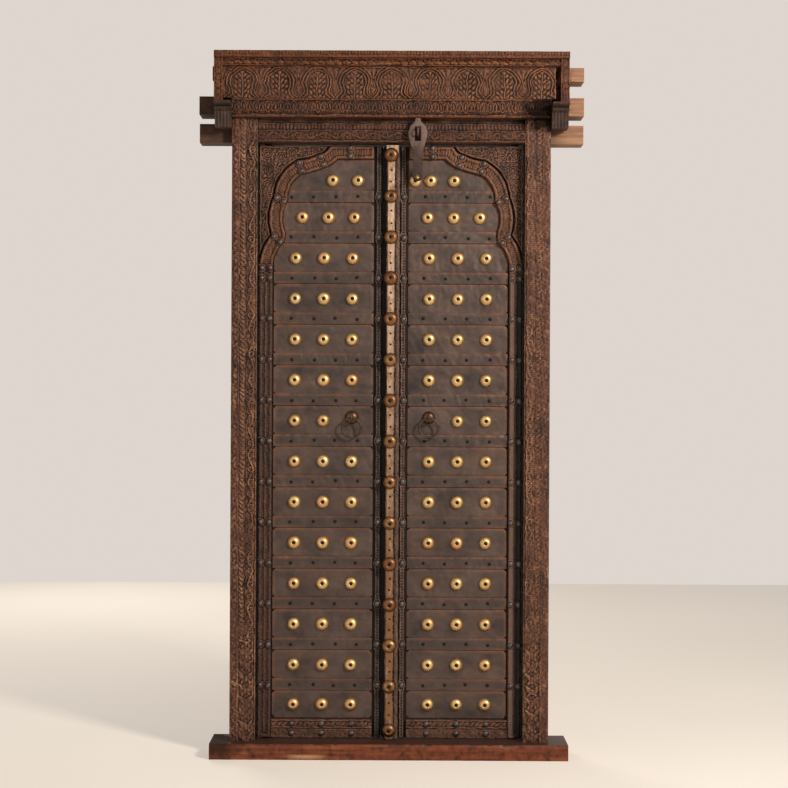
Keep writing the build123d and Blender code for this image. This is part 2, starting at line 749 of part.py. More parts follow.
def arch_stud_places(side):
    """Stud pairs on the band at the arch's cusps and along its level top."""
    spring = leaf_top - ARCH_RISE
    edge = leaf_edge - BAND_EDGE_GAP
    places = []
    for line in arch_pair_lines():
        rail = arch_inside(RIGHT, line).wire()
        marks = [end for _, end in ARCH_ARC_SHARES[:4]] + [(0, 0)]
        for across_share, rise_share in marks:
            mark = Vector(edge - across_share * ARCH_SPAN, spring + rise_share * ARCH_RISE)
            near = rail.position_at(rail.param_at_point(nearest(rail, mark)))
            places.append((side * near.X, rib_face, near.Y))
        places.append((side * (edge - ARCH_SPAN - TOP_BAND_STUD_INSET), rib_face, leaf_top - line))
    return places


def nearest(rail, mark):
    """The point of a wire that lies nearest to a mark."""
    return rail.distance_to_with_closest_points(mark)[1]


def rail_stud_places(side):
    """A few iron studs along each foot rail."""
    places = []
    for i in range(RAIL_COUNT):
        level = leaf_bottom + i * (RAIL_HEIGHT + RAIL_GAP) + RAIL_HEIGHT / 2
        for share in RAIL_STUD_SHARES:
            column = PANEL_INNER + share * panel_width
            places.append((side * column, LEAF_FORWARD + RAIL_THICKNESS, level))
    return places


# Middle post on the right leaf


def make_astragal():
    """Upright post with a stepped edge, up the right leaf's meeting stile."""
    step = ASTRAGAL_RIGHT - ASTRAGAL_EDGE_STEP
    lower = astragal_face - ASTRAGAL_EDGE_DROP
    outline = [
        (ASTRAGAL_LEFT, -LEAF_FORWARD),
        (ASTRAGAL_LEFT, -astragal_face),
        (step, -astragal_face),
        (step, -lower),
        (ASTRAGAL_RIGHT, -lower),
        (ASTRAGAL_RIGHT, -LEAF_FORWARD),
    ]
    face = make_face(Polyline(outline, close=True))
    height = leaf_top - BAND_EDGE_GAP - leaf_bottom
    return extrude(Plane.XY.offset(leaf_bottom) * face, amount=height)


def make_brass_strip():
    """Thin brass strip up the post's face, under its bosses."""
    reach = (-BRASS_STRIP_WIDTH / 2, BRASS_STRIP_WIDTH / 2)
    return block(reach, (astragal_face, brass_strip_face), (leaf_bottom, leaf_top - BAND_EDGE_GAP))


def boss_places():
    """Brass bosses on the post: one at each strap, one above and one below."""
    levels = [leaf_top - TOP_BOSS_DROP] + strap_middles() + [leaf_bottom + RAIL_HEIGHT]
    return [(0, brass_strip_face, level) for level in levels]


# Ring pulls


def bar_ring(radius, wire, sides):
    """Ring of bar with its edges taken off, in short flats, lying round the origin."""
    outline = RegularPolygon(radius + wire, sides) - RegularPolygon(radius - wire, sides)
    ring = extrude(outline, amount=wire, both=True)
    rims = ring.faces().sort_by(Axis.Z)
    return chamfer(rims[0].edges() + rims[-1].edges(), BAR_CHAMFER_SHARE * wire)


def ring_centre(side):
    """Column and level of a ring pull's boss, and the forward distance of its eye."""
    bottom, top = row_levels(ring_row)
    column = side * (row_centre - STUD_PITCH_SHARE * panel_width)
    eye = plate_face + BRASS_HEIGHT + EYE_RADIUS + EYE_WIRE_RADIUS
    return column, eye, (bottom + top) / 2 + RING_COLUMN_RISE


def make_ring_boss(side):
    """Brass boss, bored for the eye's shank."""
    column, _, level = ring_centre(side)
    head = make_brass_stud() - extrude(RegularPolygon(BOSS_HOLE_RADIUS, BAR_SIDES), amount=OVERRUN)
    return placed(head, [(column, plate_face, level)])


def make_ring_eye(side):
    """Iron eye that carries the ring: a shank through the boss and a loop in front of it."""
    column, eye, level = ring_centre(side)
    length = eye - EYE_RADIUS - plate_face
    shank = extrude(RegularPolygon(EYE_SHANK_RADIUS, BAR_SIDES), amount=length)
    loop = Rot(0, 90, 0) * bar_ring(EYE_RADIUS, EYE_WIRE_RADIUS, EYE_SIDES)
    return Pos(column, -plate_face, level) * Rot(90, 0, 0) * shank + Pos(column, -eye, level) * loop


def ring_drop():
    """How far the ring's wire hangs below the eye's centre."""
    return EYE_RADIUS - EYE_WIRE_RADIUS - RING_WIRE_RADIUS - RING_PLAY


def make_ring(side):
    """Iron ring, hanging from its eye."""
    column, eye, level = ring_centre(side)
    hang = level - ring_drop() - RING_RADIUS
    return Pos(column, -eye, hang) * Rot(90, 0, 0) * bar_ring(RING_RADIUS, RING_WIRE_RADIUS, RING_SIDES)


# Hasp


def hasp_levels():
    """Top of the hasp, top of its slot and centre of the staple's upper leg."""
    top = architrave_top - HASP_TOP_GAP
    slot_top = top - HASP_SLOT_DROP
    return top, slot_top, slot_top - STAPLE_PLAY - STAPLE_WIRE


def make_hasp():
    """Forged plate with a slotted leaf-shaped head, a narrow neck and a looped foot, cranked in."""
    top, slot_top, _ = hasp_levels()
    foot = top - HASP_LENGTH + HASP_LOOP_RADIUS
    right = [
        (width_share * HASP_HEAD_WIDTH / 2, top - drop_share * HASP_LENGTH)
        for width_share, drop_share in HASP_OUTLINE_SHARES
    ]
    left = [(-x, z) for x, z in reversed(right)]
    outline = make_face(Polyline(right + left, close=True)) + Pos(0, foot) * RegularPolygon(HASP_LOOP_RADIUS, HASP_LOOP_SIDES)
    outline -= Pos(0, slot_top - HASP_SLOT_HEIGHT / 2) * Rectangle(HASP_SLOT_WIDTH, HASP_SLOT_HEIGHT)
    outline -= Pos(0, foot) * RegularPolygon(HASP_LOOP_HOLE, HASP_LOOP_SIDES)
    plate = raised(Pos(HASP_CENTRE, 0) * outline, 0, ARCHITRAVE_FORWARD + OVERRUN)
    return plate & hasp_side_view()


def hasp_side_view():
    """Side view of the cranked plate, run across its whole width."""
    top, _, _ = hasp_levels()
    back = ARCHITRAVE_FORWARD + HASP_STAND_OFF
    bend, set_in = (top - share * HASP_LENGTH for share in HASP_CRANK_SHARES)
    bottom = top - HASP_LENGTH - OVERRUN
    inner = back - HASP_CRANK
    outline = [
        (back, top + OVERRUN),
        (back, bend),
        (inner, set_in),
        (inner, bottom),
        (inner + HASP_THICKNESS, bottom),
        (inner + HASP_THICKNESS, set_in),
        (back + HASP_THICKNESS, bend),
        (back + HASP_THICKNESS, top + OVERRUN),
    ]
    return Pos(HASP_CENTRE, 0, 0) * across(outline, HASP_HEAD_WIDTH)


def make_staple():
    """Iron staple on the lintel board: two legs and a round end, standing through the hasp's slot."""
    _, _, upper = hasp_levels()
    length = HASP_STAND_OFF + HASP_THICKNESS + STAPLE_REACH
    bar = staple_outline(length, STAPLE_HALF_HEIGHT + STAPLE_WIRE)
    bar -= staple_outline(length, STAPLE_HALF_HEIGHT - STAPLE_WIRE)
    staple = extrude(Plane.YZ * bar, amount=STAPLE_WIRE, both=True)
    sides = staple.faces().sort_by(Axis.X)
    staple = chamfer(sides[0].edges() + sides[-1].edges(), BAR_CHAMFER_SHARE * STAPLE_WIRE)
    return Pos(HASP_CENTRE, -ARCHITRAVE_FORWARD, upper - STAPLE_HALF_HEIGHT) * staple


def staple_outline(length, half):
    """Side-view strip from the board to a round end, in short flats."""
    strip = Pos(-length / 2, 0) * Rectangle(length, 2 * half)
    return strip + Pos(-length, 0) * RegularPolygon(half, HASP_LOOP_SIDES)


def make_parts():
    """Every sub-part by its name."""
    brass, iron = make_brass_stud(), make_iron_stud()
    parts = {
        "sill": make_sill(),
        "lintel": make_lintel(),
        "architrave": make_architrave(),
        "frieze_beam": make_frieze_beam(),
        "frieze_board": make_frieze(),
        "cornice_beam": make_cornice_beam(),
        "cornice_petal_board": make_cornice_board(),
        "cornice_bead": make_cornice_bead(),
        "cornice_crown": make_cornice_top(),
        "hasp": make_hasp(),
        "hasp_staple": make_staple(),
        "astragal": make_astragal(),
        "astragal_brass_strip": make_brass_strip(),
        "astragal_bosses": placed(brass, boss_places()),
    }
    for side, name in SIDE_NAMES.items():
        parts.update(
            {
                f"{name}_jamb": make_jamb(side),
                f"{name}_cornice_border": make_cornice_border(side),
                f"{name}_bracket": make_bracket(side),
                f"{name}_pivot_stile": make_pivot_stile(side),
                f"{name}_meeting_stile": make_meeting_stile(side),
                f"{name}_boards": make_boards(side),
                f"{name}_ledges": make_ledges(side),
                f"{name}_lower_pintle": make_pintle(side, upper=False),
                f"{name}_upper_pintle": make_pintle(side, upper=True),
                f"{name}_arch_band": make_arch_band(side),
                f"{name}_spandrel": make_spandrel(side),
                f"{name}_iron_plates": make_plates(side),
                f"{name}_iron_straps": make_straps(side),
                f"{name}_foot_rails": make_foot_rails(side),
                f"{name}_meeting_strip": make_meeting_strip(side),
                f"{name}_brass_studs": placed(brass, brass_places(side)),
                f"{name}_iron_studs": placed(iron, iron_places(side)),
                f"{name}_ring_boss": make_ring_boss(side),
                f"{name}_ring_eye": make_ring_eye(side),
                f"{name}_ring": make_ring(side),
            }
        )
    return parts


os.makedirs("parts", exist_ok=True)
for node, shape in make_parts().items():
    export_step(shape, f"parts/{node}.step")
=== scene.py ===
"""Carved timber double door in its frame: iron-clad, brass-studded leaves under a cusped arch.

Everything is in metres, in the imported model's frame: X to the right, Y into the room behind, Z up.
"""

import math
from functools import partial

import bmesh
import bpy
import numpy as np
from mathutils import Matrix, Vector, geometry


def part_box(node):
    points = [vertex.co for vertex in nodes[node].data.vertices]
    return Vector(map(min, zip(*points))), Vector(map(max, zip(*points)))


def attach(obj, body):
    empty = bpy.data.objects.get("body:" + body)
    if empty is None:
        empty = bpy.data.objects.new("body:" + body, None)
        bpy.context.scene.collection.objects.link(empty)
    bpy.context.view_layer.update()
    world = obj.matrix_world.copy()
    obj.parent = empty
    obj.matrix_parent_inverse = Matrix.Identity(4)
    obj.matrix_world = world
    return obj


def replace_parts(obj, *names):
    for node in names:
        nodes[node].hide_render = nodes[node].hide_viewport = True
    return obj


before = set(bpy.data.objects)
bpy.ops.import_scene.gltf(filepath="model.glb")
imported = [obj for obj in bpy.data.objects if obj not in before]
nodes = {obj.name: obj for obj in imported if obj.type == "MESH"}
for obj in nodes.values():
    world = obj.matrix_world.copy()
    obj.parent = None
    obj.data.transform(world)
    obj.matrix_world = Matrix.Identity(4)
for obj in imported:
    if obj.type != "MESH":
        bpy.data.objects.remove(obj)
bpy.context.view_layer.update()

# The door as a whole: the chance that makes hand work uneven, seeded once so that each run carves the same
# door.

hand = np.random.default_rng(7)

# Sill: one heavy red-brown beam on the floor, mortised for the posts. Its front arris is worn and
# chipped, with one long pale splinter scar low on the front.

PROMINENCE_REACH = 0.004
SILL_STEP = 0.006
SILL_PROMINENCE_REACH = 0.010
SILL_CHIP_DEPTH = 0.0035
SILL_SCAR = {"x": -0.245, "z": 0.009, "half_length": 0.068, "half_height": 0.0045}
SILL_RED = (112, 54, 33)
SILL_DARK = (38, 17, 11)
SILL_LIGHT = (160, 90, 55)
SILL_SCAR_COLOUR = (196, 150, 104)
SILL_TREAD_COLOUR = (58, 40, 33)
SILL_DIRT_REACH = (0.11, 0.3, 0.045)


def srgb(colour):
    """A colour written as screen values from 0 to 255, in the linear light that shaders take."""
    screen = np.array(colour) / 255
    linear = np.where(screen <= 0.04045, screen / 12.92, ((screen + 0.055) / 1.055) ** 2.4)
    return (*linear.tolist(), 1.0)


def put(tree, node, inputs):
    """A shader node's inputs, each linked or set."""
    for key, value in inputs.items():
        if isinstance(value, bpy.types.NodeSocket):
            tree.links.new(value, node.inputs[key])
        else:
            node.inputs[key].default_value = value


def add(tree, kind, inputs, result, **settings):
    """One result of a new shader node."""
    node = tree.nodes.new(kind)
    for key, value in settings.items():
        setattr(node, key, value)
    put(tree, node, inputs)
    return node.outputs[result]


class Finish:
    """A finish in the making: a ground colour, and what is laid over it coat by coat."""

    def __init__(self, name, ground):
        self.made = bpy.data.materials.new(name)
        self.made.use_nodes = True
        self.tree = self.made.node_tree
        self.tone = ground

    def put(self, **inputs):
        """Inputs of the surface, each linked or set; an underscore stands for a space."""
        named = {key.replace("_", " "): value for key, value in inputs.items()}
        put(self.tree, self.tree.nodes["Principled BSDF"], named)

    def cloud(self, scale, detail=4.0, roughness=0.6):
        """Soft random patches: scale gives the number of patches in a metre, along X, Y and Z or any way."""
        scale = scale if isinstance(scale, tuple) else (scale,) * 3
        place = add(self.tree, "ShaderNodeTexCoord", {}, "Object")
        stretched = add(self.tree, "ShaderNodeMapping", {"Vector": place, "Scale": scale}, "Vector")
        inputs = {"Vector": stretched, "Scale": 1.0, "Detail": detail, "Roughness": roughness}
        return add(self.tree, "ShaderNodeTexNoise", inputs, "Fac")

    def between(self, value, low, high, start=0.0, end=1.0):
        """A value read from one range into another, held at its ends."""
        inputs = {"Value": value, "From Min": low, "From Max": high, "To Min": start, "To Max": end}
        return add(self.tree, "ShaderNodeMapRange", inputs, "Result")

    def sum_up(self, operation, first, second):
        """Two values made into one."""
        return add(self.tree, "ShaderNodeMath", {0: first, 1: second}, "Value", operation=operation)

    def times(self, first, second):
        """Two values multiplied."""
        return self.sum_up("MULTIPLY", first, second)

    def painted(self, name):
        """A value that was painted on a mesh's points."""
        return add(self.tree, "ShaderNodeAttribute", {}, "Fac", attribute_name=name)

    def place(self, axis):
        """Where each point lies along one axis of the door."""
        here = add(self.tree, "ShaderNodeTexCoord", {}, "Object")
        return add(self.tree, "ShaderNodeSeparateXYZ", {"Vector": here}, axis)

    def facing(self, axis):
        """How far the surface is turned towards one axis."""
        normal = add(self.tree, "ShaderNodeNewGeometry", {}, "Normal")
        return add(self.tree, "ShaderNodeSeparateXYZ", {"Vector": normal}, axis)

    def blend(self, share, first, second):
        """The first colour going over to the second."""
        first, second = (c if isinstance(c, bpy.types.NodeSocket) else srgb(c) for c in (first, second))
        return add(self.tree, "ShaderNodeMix", {"Factor": share, 6: first, 7: second}, 2, data_type="RGBA")

    def coat(self, colour, share, *span):
        """A colour laid over what is there by a share, or by a value and the range that it is read from."""
        share = self.between(share, *span) if span else share
        self.tone = self.blend(share, self.tone, colour)
        self.put(Base_Color=self.tone)

    def shine(self, value, *span):
        """The surface's roughness, from a value and the range that it is read from."""
        self.roughness = self.between(value, *span) if span else value
        self.put(Roughness=self.roughness)

    def soil_and_shade(self, colour, share, *span):
        """A dark coat laid over what is there, which dulls it: dirt, and painted shade."""
        share = self.between(share, *span) if span else share
        self.coat(colour, share)
        self.shine(self.sum_up("MAXIMUM", self.roughness, share))

    def bump(self, value, distance, strength):
        """Fine roughness of the surface from a value."""
        inputs = {"Height": value, "Distance": distance, "Strength": strength}
        self.put(Normal=add(self.tree, "ShaderNodeBump", inputs, "Normal"))


def timber_finish(name, grain, dark, middle, light, dirt_and_shade, worn, gloss=0.5):
    """Old timber: grain along its length, dirt with painted shade in the hollows, and wear with a painted
    highlight on the ridges.
    """
    finish = Finish(name, dark)
    fibres = finish.cloud(grain, 7.0, 0.62)
    patches = finish.cloud((7.0, 7.0, 5.0), 3.0)
    grime = finish.cloud((24.0, 24.0, 18.0), 6.0, 0.7)
    stain = finish.cloud((48.0, 48.0, 40.0), 5.0, 0.7)
    flecks = finish.between(finish.cloud(260.0, 2.0), 0.25, 0.75, 0.25, 1.0)
    rubbed = finish.between(finish.cloud(16.0), 0.36, 0.64, 0.12, 1.0)
    prominence = finish.painted("prominence")
    ridge = finish.times(finish.times(finish.between(prominence, 0.06, 0.95), flecks), rubbed)
    finish.coat(light, fibres, 0.32, 0.68)
    finish.coat(middle, patches, 0.30, 0.70, 0.15, 0.8)
    finish.coat(dirt_and_shade, grime, 0.52, 0.72, 0.0, 0.6)
    # Painted shade, with dirt: the hollows darkened by how far they sink below what is round them.
    finish.coat(dirt_and_shade, prominence, -0.05, -0.75)
    # Painted highlight, with wear: the ridges lightened where they stand out, in flecks and rubbed patches.
    finish.coat(worn, ridge)
    finish.coat(dirt_and_shade, stain, 0.50, 0.68, 0.0, 0.55)
    finish.coat(worn, stain, 0.44, 0.30, 0.0, 0.35)
    finish.shine(ridge, 0.0, 0.7, gloss + 0.10, gloss - 0.18)
    finish.put(Specular_IOR_Level=0.22)
    finish.bump(fibres, 0.0012, 0.55)
    return finish


def soot_and_shadow_patch(finish, place, reach, colour):
    """A dark, dull patch on a finish round one place, thick in the middle and ragged at its edge: dirt and
    soot, and painted shadow.
    """
    tree = finish.tree
    here = add(tree, "ShaderNodeTexCoord", {}, "Object")
    away = add(tree, "ShaderNodeVectorMath", {0: here, 1: place}, "Vector", operation="SUBTRACT")
    shares = tuple(1 / length for length in reach)
    away = add(tree, "ShaderNodeVectorMath", {0: away, 1: shares}, "Vector", operation="MULTIPLY")
    distance = add(tree, "ShaderNodeVectorMath", {0: away}, "Value", operation="LENGTH")
    ragged = finish.between(finish.cloud(38.0, 5.0), 0.3, 0.7, -0.32, 0.32)
    soot_and_shadow_share = finish.between(finish.sum_up("ADD", distance, ragged), 1.15, 0.55, 0.0, 0.86)
    finish.soil_and_shade(colour, soot_and_shadow_share)
    finish.put(Specular_IOR_Level=finish.between(soot_and_shadow_share, 0.0, 0.86, 0.22, 0.06))


def slow_waves(count, longest, seed):
    """Random slow waves over a face, as directions with phases: the unevenness of hand work."""
    chance = np.random.default_rng(seed)
    turn = chance.uniform(0, 2 * math.pi, count)
    length = longest * chance.uniform(0.35, 1.0, count)
    return np.cos(turn) / length, np.sin(turn) / length, chance.uniform(0, 1, count)


def uneven(x, z, longest, seed, count=9):
    """A smooth random value about zero at each place, mostly within one either way."""
    total = np.zeros_like(x)
    for rate_x, rate_z, phase in zip(*slow_waves(count, longest, seed)):
        total += np.cos(2 * math.pi * (x * rate_x + z * rate_z + phase))
    return total / math.sqrt(count)


def prominence_at(relief, x, z, reach):
    """How far each place stands over what is round it, from -1 in a hollow to 1 on a ridge."""
    here = relief(x, z)
    turns = [i * math.pi / 4 for i in range(8)]
    around = sum(relief(x + reach * math.cos(t), z + reach * math.sin(t)) for t in turns) / 8
    return here, np.clip((here - around) / (0.32 * reach), -1, 1)


def add_piece(name, points, faces, smooth, finish, body, paint=None):
    """A mesh piece on one body, with its finish; smooth says which faces are rounded."""
    mesh = bpy.data.meshes.new(name)
    mesh.from_pydata(points, [], faces)
    mesh.polygons.foreach_set("use_smooth", np.asarray(smooth, dtype=bool))
    for layer, values in (paint or {}).items():
        mesh.attributes.new(layer, "FLOAT", "POINT").data.foreach_set("value", values.astype(np.float32))
    mesh.validate()
    mesh.update()
    mesh.materials.append(finish.made)
    piece = bpy.data.objects.new(name, mesh)
    bpy.context.scene.collection.objects.link(piece)
    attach(piece, body)
    return piece


def carved_board(name, x_range, z_range, forward, relief, step, finish, body, reach):
    """A timber whose front is carved: forward distances of its back and face, and the relief on the face."""
    back, face = forward
    columns = max(2, round((x_range[1] - x_range[0]) / step) + 1)
    rows = max(2, round((z_range[1] - z_range[0]) / step) + 1)
    x, z = np.meshgrid(np.linspace(*x_range, columns), np.linspace(*z_range, rows))
    height, prominence = prominence_at(relief, x, z, reach)
    front = np.stack([x, -(face + height), z], axis=-1).reshape(-1, 3)
    index = np.arange(rows * columns).reshape(rows, columns)
    quads = np.stack([index[:-1, :-1], index[:-1, 1:], index[1:, 1:], index[1:, :-1]], axis=-1)
    quads = quads.reshape(-1, 4)
    rim = np.concatenate([index[0, :-1], index[:-1, -1], index[-1, :0:-1], index[:0:-1, 0]])
    edge = front[rim]
    behind = edge.copy()
    behind[:, 1] = -back
    near = len(front) + np.arange(len(rim))
    far = near + len(rim)
    walls = np.stack([np.roll(near, -1), near, far, np.roll(far, -1)], axis=-1)
    faces = quads.tolist() + walls.tolist() + [far[::-1].tolist()]
    smooth = [True] * len(quads) + [False] * (len(walls) + 1)
    paint = {"prominence": np.concatenate([prominence.ravel(), np.zeros(2 * len(rim))])}
    points = np.concatenate([front, edge, behind])
    return add_piece(name, points.tolist(), faces, smooth, finish, body, paint)


def limits(name):
    """X, forward and Z limits of a solid: forward is the distance towards the viewer."""
    low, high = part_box(name)
    return (low.x, high.x), (-high.y, -low.y), (low.z, high.z)


def carved(
    name, node, relief, step, finish,
    face=None, drop=0.0, body="frame", reach=PROMINENCE_REACH,
):
    """A carved timber in the place of one solid; a face or a drop of its foot changes the solid's limits."""
    x_range, forward, z_range = limits(node)
    forward = (forward[0], face or forward[1])
    z_range = (z_range[0] - drop, z_range[1])
    piece = carved_board(name, x_range, z_range, forward, relief, step, finish, body, reach)
    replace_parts(piece, node)
    return piece


def from_scar(x, z):
    """How far each place is from the middle of the scar, where one is its edge, squared."""
    across = (x - SILL_SCAR["x"]) / SILL_SCAR["half_length"]
    return across**2 + ((z - SILL_SCAR["z"]) / SILL_SCAR["half_height"]) ** 2


def sill_relief(x, z):
    """Saw marks, a worn upper arris and the scar."""
    dents = 0.0007 * uneven(x, z, 0.11, 3) + 0.0004 * uneven(x, z, 0.03, 4)
    arris = np.clip((z - (sill_z[1] - 0.012)) / 0.012, 0, 1) ** 2
    nicks = np.clip(uneven(x, z * 0, 0.09, 5), 0, 1.4)
    hurt = np.clip(1.2 - from_scar(x, z - 0.0015 * uneven(x, z * 0, 0.05, 6)), 0, 1)
    return dents - arris * (0.003 + SILL_CHIP_DEPTH * nicks) - 0.002 * hurt - 0.001


sill_x, _, sill_z = limits("sill")
sill_finish = timber_finish(
    "sill_timber_finish", (5.0, 60.0, 90.0),
    SILL_DARK, SILL_RED, SILL_LIGHT, (30, 15, 10), (166, 96, 60), 0.38,
)
sill_finish.coat(SILL_SCAR_COLOUR, sill_finish.painted("scar"))
sill_finish.coat(SILL_TREAD_COLOUR, sill_finish.facing("Z"), 0.4, 0.9, 0.0, 0.8)
soot_and_shadow_patch(sill_finish, (sill_x[0], -0.10, sill_z[1]), SILL_DIRT_REACH, SILL_TREAD_COLOUR)
sill = carved(
    "carved_sill", "sill", sill_relief, SILL_STEP, sill_finish, reach=SILL_PROMINENCE_REACH
)
sill_points = np.array([v.co for v in sill.data.vertices])
scar_share = np.clip(1.25 - from_scar(sill_points[:, 0], sill_points[:, 2]), 0, 1)
scar_share = scar_share * (sill_points[:, 1] < -0.05)
sill.data.attributes.new("scar", "FLOAT", "POINT").data.foreach_set("value", scar_share.astype(np.float32))

# Jambs: two posts tenoned into the sill, each carved down its face with a leaf column, a rope, a
# groove, a leafy scroll and a sunk fillet, and with pairs of leaves at the foot. The right one is
# rubbed almost smooth.

JAMB_STEP = 0.0018
JAMB_REVEAL_SHADE = (22, 16, 13)
JAMB_ROPE = {"centre": 0.032, "half": 0.008, "pitch": 0.0134, "depth": 0.0056}
JAMB_GROOVE = {"centre": 0.0445, "half": 0.0045, "depth": 0.007}
JAMB_SCROLL = {"centre": 0.0600, "half": 0.0120, "period": 0.076}
JAMB_FILLET = {"start": 0.0695, "drop": 0.0065}
JAMB_FOOT = {"top": 0.342, "centre": 0.0480, "half": 0.0215, "pitch": 0.036}
JAMB_LEAF = {"centre": 0.012, "pitch": 0.019, "depth": 0.0032}
JAMB_KEPT = (1.0, 0.4)
SIDES = ("left", "right")


def cell(along, pitch):
    """The number of the repeat that each place is in, and the distance from its middle."""
    number = np.floor(along / pitch)
    return number, along - (number + 0.5) * pitch


def dome(distance, radius):
    """A rounded rise: one in the middle and nothing past the radius."""
    return np.sqrt(np.clip(1 - (distance / radius) ** 2, 0, 1))


def leaf(along, across, length, width, turn):
    """A pointed leaf about the origin, raised along its middle, with a cut down its vein."""
    tip = along * math.cos(turn) + across * math.sin(turn)
    side = across * math.cos(turn) - along * math.sin(turn)
    taper = width / 2 * np.clip(1 - (2 * tip / length) ** 2, 0.001, 1)
    body = np.clip(1 - np.abs(side) / taper, 0, 1) ** 0.6
    return body - 0.3 * np.exp(-((side / (0.12 * width)) ** 2)) * (body > 0.1)


def scroll(along, across, half, period):
    """A stem waving from side to side, with a curled leaf in each of its hollows."""
    stem = dome(across - 0.62 * half * np.sin(2 * math.pi * along / period), 0.20 * half)
    number, local = cell(along, period / 2)
    side = np.where(number % 2 == 0, 1.0, -1.0)
    rise = (across + 0.22 * side * half) * side
    distance = np.hypot(local, rise)
    turn = (np.arctan2(rise, local) + math.pi) / (2 * math.pi)
    curl = dome(distance - half * (0.38 + 0.36 * turn), 0.15 * half)
    eye = dome(distance, 0.22 * half)
    shoots = 0
    for place, tilt in ((-1, 0.7), (1, -0.7)):
        shoot = leaf(local - place * 0.23 * period, rise - 0.1 * half, 1.5 * half, 0.6 * half, tilt)
        shoots = np.maximum(shoots, shoot)
    return np.maximum.reduce([stem, 0.95 * curl, 0.8 * eye, 0.7 * shoots])


def foot_panel(along, across):
    """Pairs of leaves with a bud between them, one pair over another."""
    local = cell(along, JAMB_FOOT["pitch"])[1]
    spread = np.abs(across - JAMB_FOOT["centre"])
    petals = leaf(local - 0.004, spread - 0.0105, 0.036, 0.0125, 0.62)
    lower = leaf(local + 0.011, spread - 0.0085, 0.020, 0.0075, -0.5)
    bud = dome(local + 0.004, 0.010) * dome(spread, 0.0045)
    return np.maximum.reduce([petals, 0.8 * lower, bud])


def jamb_relief(outer_edge, kept, x, z):
    """The carving down one jamb, from the place of its outer edge and how much of its depth is left."""
    across = outer_edge - np.abs(x)
    along = z + 0.0012 * uneven(x * 0, z, 0.09, 11)
    number, local = cell(along, JAMB_LEAF["pitch"])
    tilt_side = np.where(number % 2 == 0, 1.0, -1.0)
    column = across - JAMB_LEAF["centre"]
    height = JAMB_LEAF["depth"] * leaf(local, column * tilt_side, 0.019, 0.011, 0.55)
    from_rope = across - JAMB_ROPE["centre"]
    local = cell(along + 0.8 * from_rope - 70 * from_rope**2, JAMB_ROPE["pitch"])[1]
    strands = dome(local + 0.002, 0.0078) * dome(from_rope, JAMB_ROPE["half"])
    rope = JAMB_ROPE["depth"] * (strands - 0.75)
    height = height + np.where(np.abs(from_rope) < JAMB_ROPE["half"], rope, 0)
    from_groove = np.abs(across - JAMB_GROOVE["centre"]) / JAMB_GROOVE["half"]
    height = height - JAMB_GROOVE["depth"] * np.clip(1.25 - from_groove, 0, 1)
    from_scroll = across - JAMB_SCROLL["centre"]
    carving = scroll(along, from_scroll, JAMB_SCROLL["half"], JAMB_SCROLL["period"])
    height = height + np.where(np.abs(from_scroll) < JAMB_SCROLL["half"], 0.0048 * carving - 0.0054, 0)
    at_foot = (z < JAMB_FOOT["top"]) & (np.abs(across - JAMB_FOOT["centre"]) < JAMB_FOOT["half"])
    height = np.where(at_foot, 0.0050 * foot_panel(along, across) - 0.0054, kept * height)
    height = height - JAMB_FILLET["drop"] * np.clip((across - JAMB_FILLET["start"]) / 0.002, 0, 1)
    arris = np.clip(1 - np.minimum(across, 0.076 - across) / 0.003, 0, 1) ** 2
    worn = 0.0006 * uneven(x, z, 0.05, 12) - 0.0018 * arris * (1 + 0.5 * uneven(x * 0, z, 0.06, 13))
    return height * (0.82 + 0.18 * uneven(x, z, 0.30, 14)) + worn


def hand_worked(relief, wander=0.0011, rubbed=0.30, pits=0.0004):
    """The same carving by an unsteady hand, some stretches rubbed flat and all of it pitted by age."""

    def worn(x, z):
        aside = wander * uneven(x, z, 0.045, 71)
        upward = wander * uneven(x, z, 0.045, 72)
        left = np.clip(1 - rubbed * (0.7 + uneven(x, z, 0.14, 73)), 0.35, 1.0)
        return left * relief(x + aside, z + upward) + pits * uneven(x, z, 0.014, 74)

    return worn


def join(first, *others):
    """Several meshes made into one piece."""
    with bpy.context.temp_override(active_object=first, selected_editable_objects=[first, *others]):
        bpy.ops.object.join()
    return first


jamb_finish = timber_finish(
    "carved_jamb_finish", (70.0, 70.0, 5.0),
    (54, 34, 26), (80, 51, 40), (128, 82, 59), (14, 9, 7), (206, 148, 106),
)
# Painted shade: the jambs' reveals, the faces turned to the opening, coated near-black and dulled.
inward = jamb_finish.times(jamb_finish.facing("X"), jamb_finish.place("X"))
jamb_finish.soil_and_shade(JAMB_REVEAL_SHADE, inward, -0.2, -0.36)
lintel_forward, lintel_z = limits("lintel")[1:]
for side, kept in zip(SIDES, JAMB_KEPT):
    jamb_x, jamb_forward, jamb_z = limits(f"{side}_jamb")
    relief = hand_worked(partial(jamb_relief, max(abs(jamb_x[0]), abs(jamb_x[1])), kept))
    parts = []
    for name, z_range, back in (
        (f"{side}_carved_jamb", (sill_z[1], lintel_z[0]), jamb_forward[0]),
        (f"{side}_jamb_head", (lintel_z[0], jamb_z[1]), lintel_forward[1]),
    ):
        part = carved_board(
            name, jamb_x, z_range, (back, jamb_forward[1]), relief, JAMB_STEP,
            jamb_finish, "frame", PROMINENCE_REACH,
        )
        parts.append(part)
    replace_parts(join(*parts), f"{side}_jamb")

# Beams over the opening: the lintel and the two beams that carry the carved boards, squared with an
# adze and pegged to the posts. Their horns run into the wall: dark on the left, bare and pale on the right.

BEAM_FADE = (0.44, 0.53)


def cad_finish(finish, *names):
    """A finish for solids that are shown as they are."""
    for name in names:
        nodes[name].data.materials.clear()
        nodes[name].data.materials.append(finish.made)


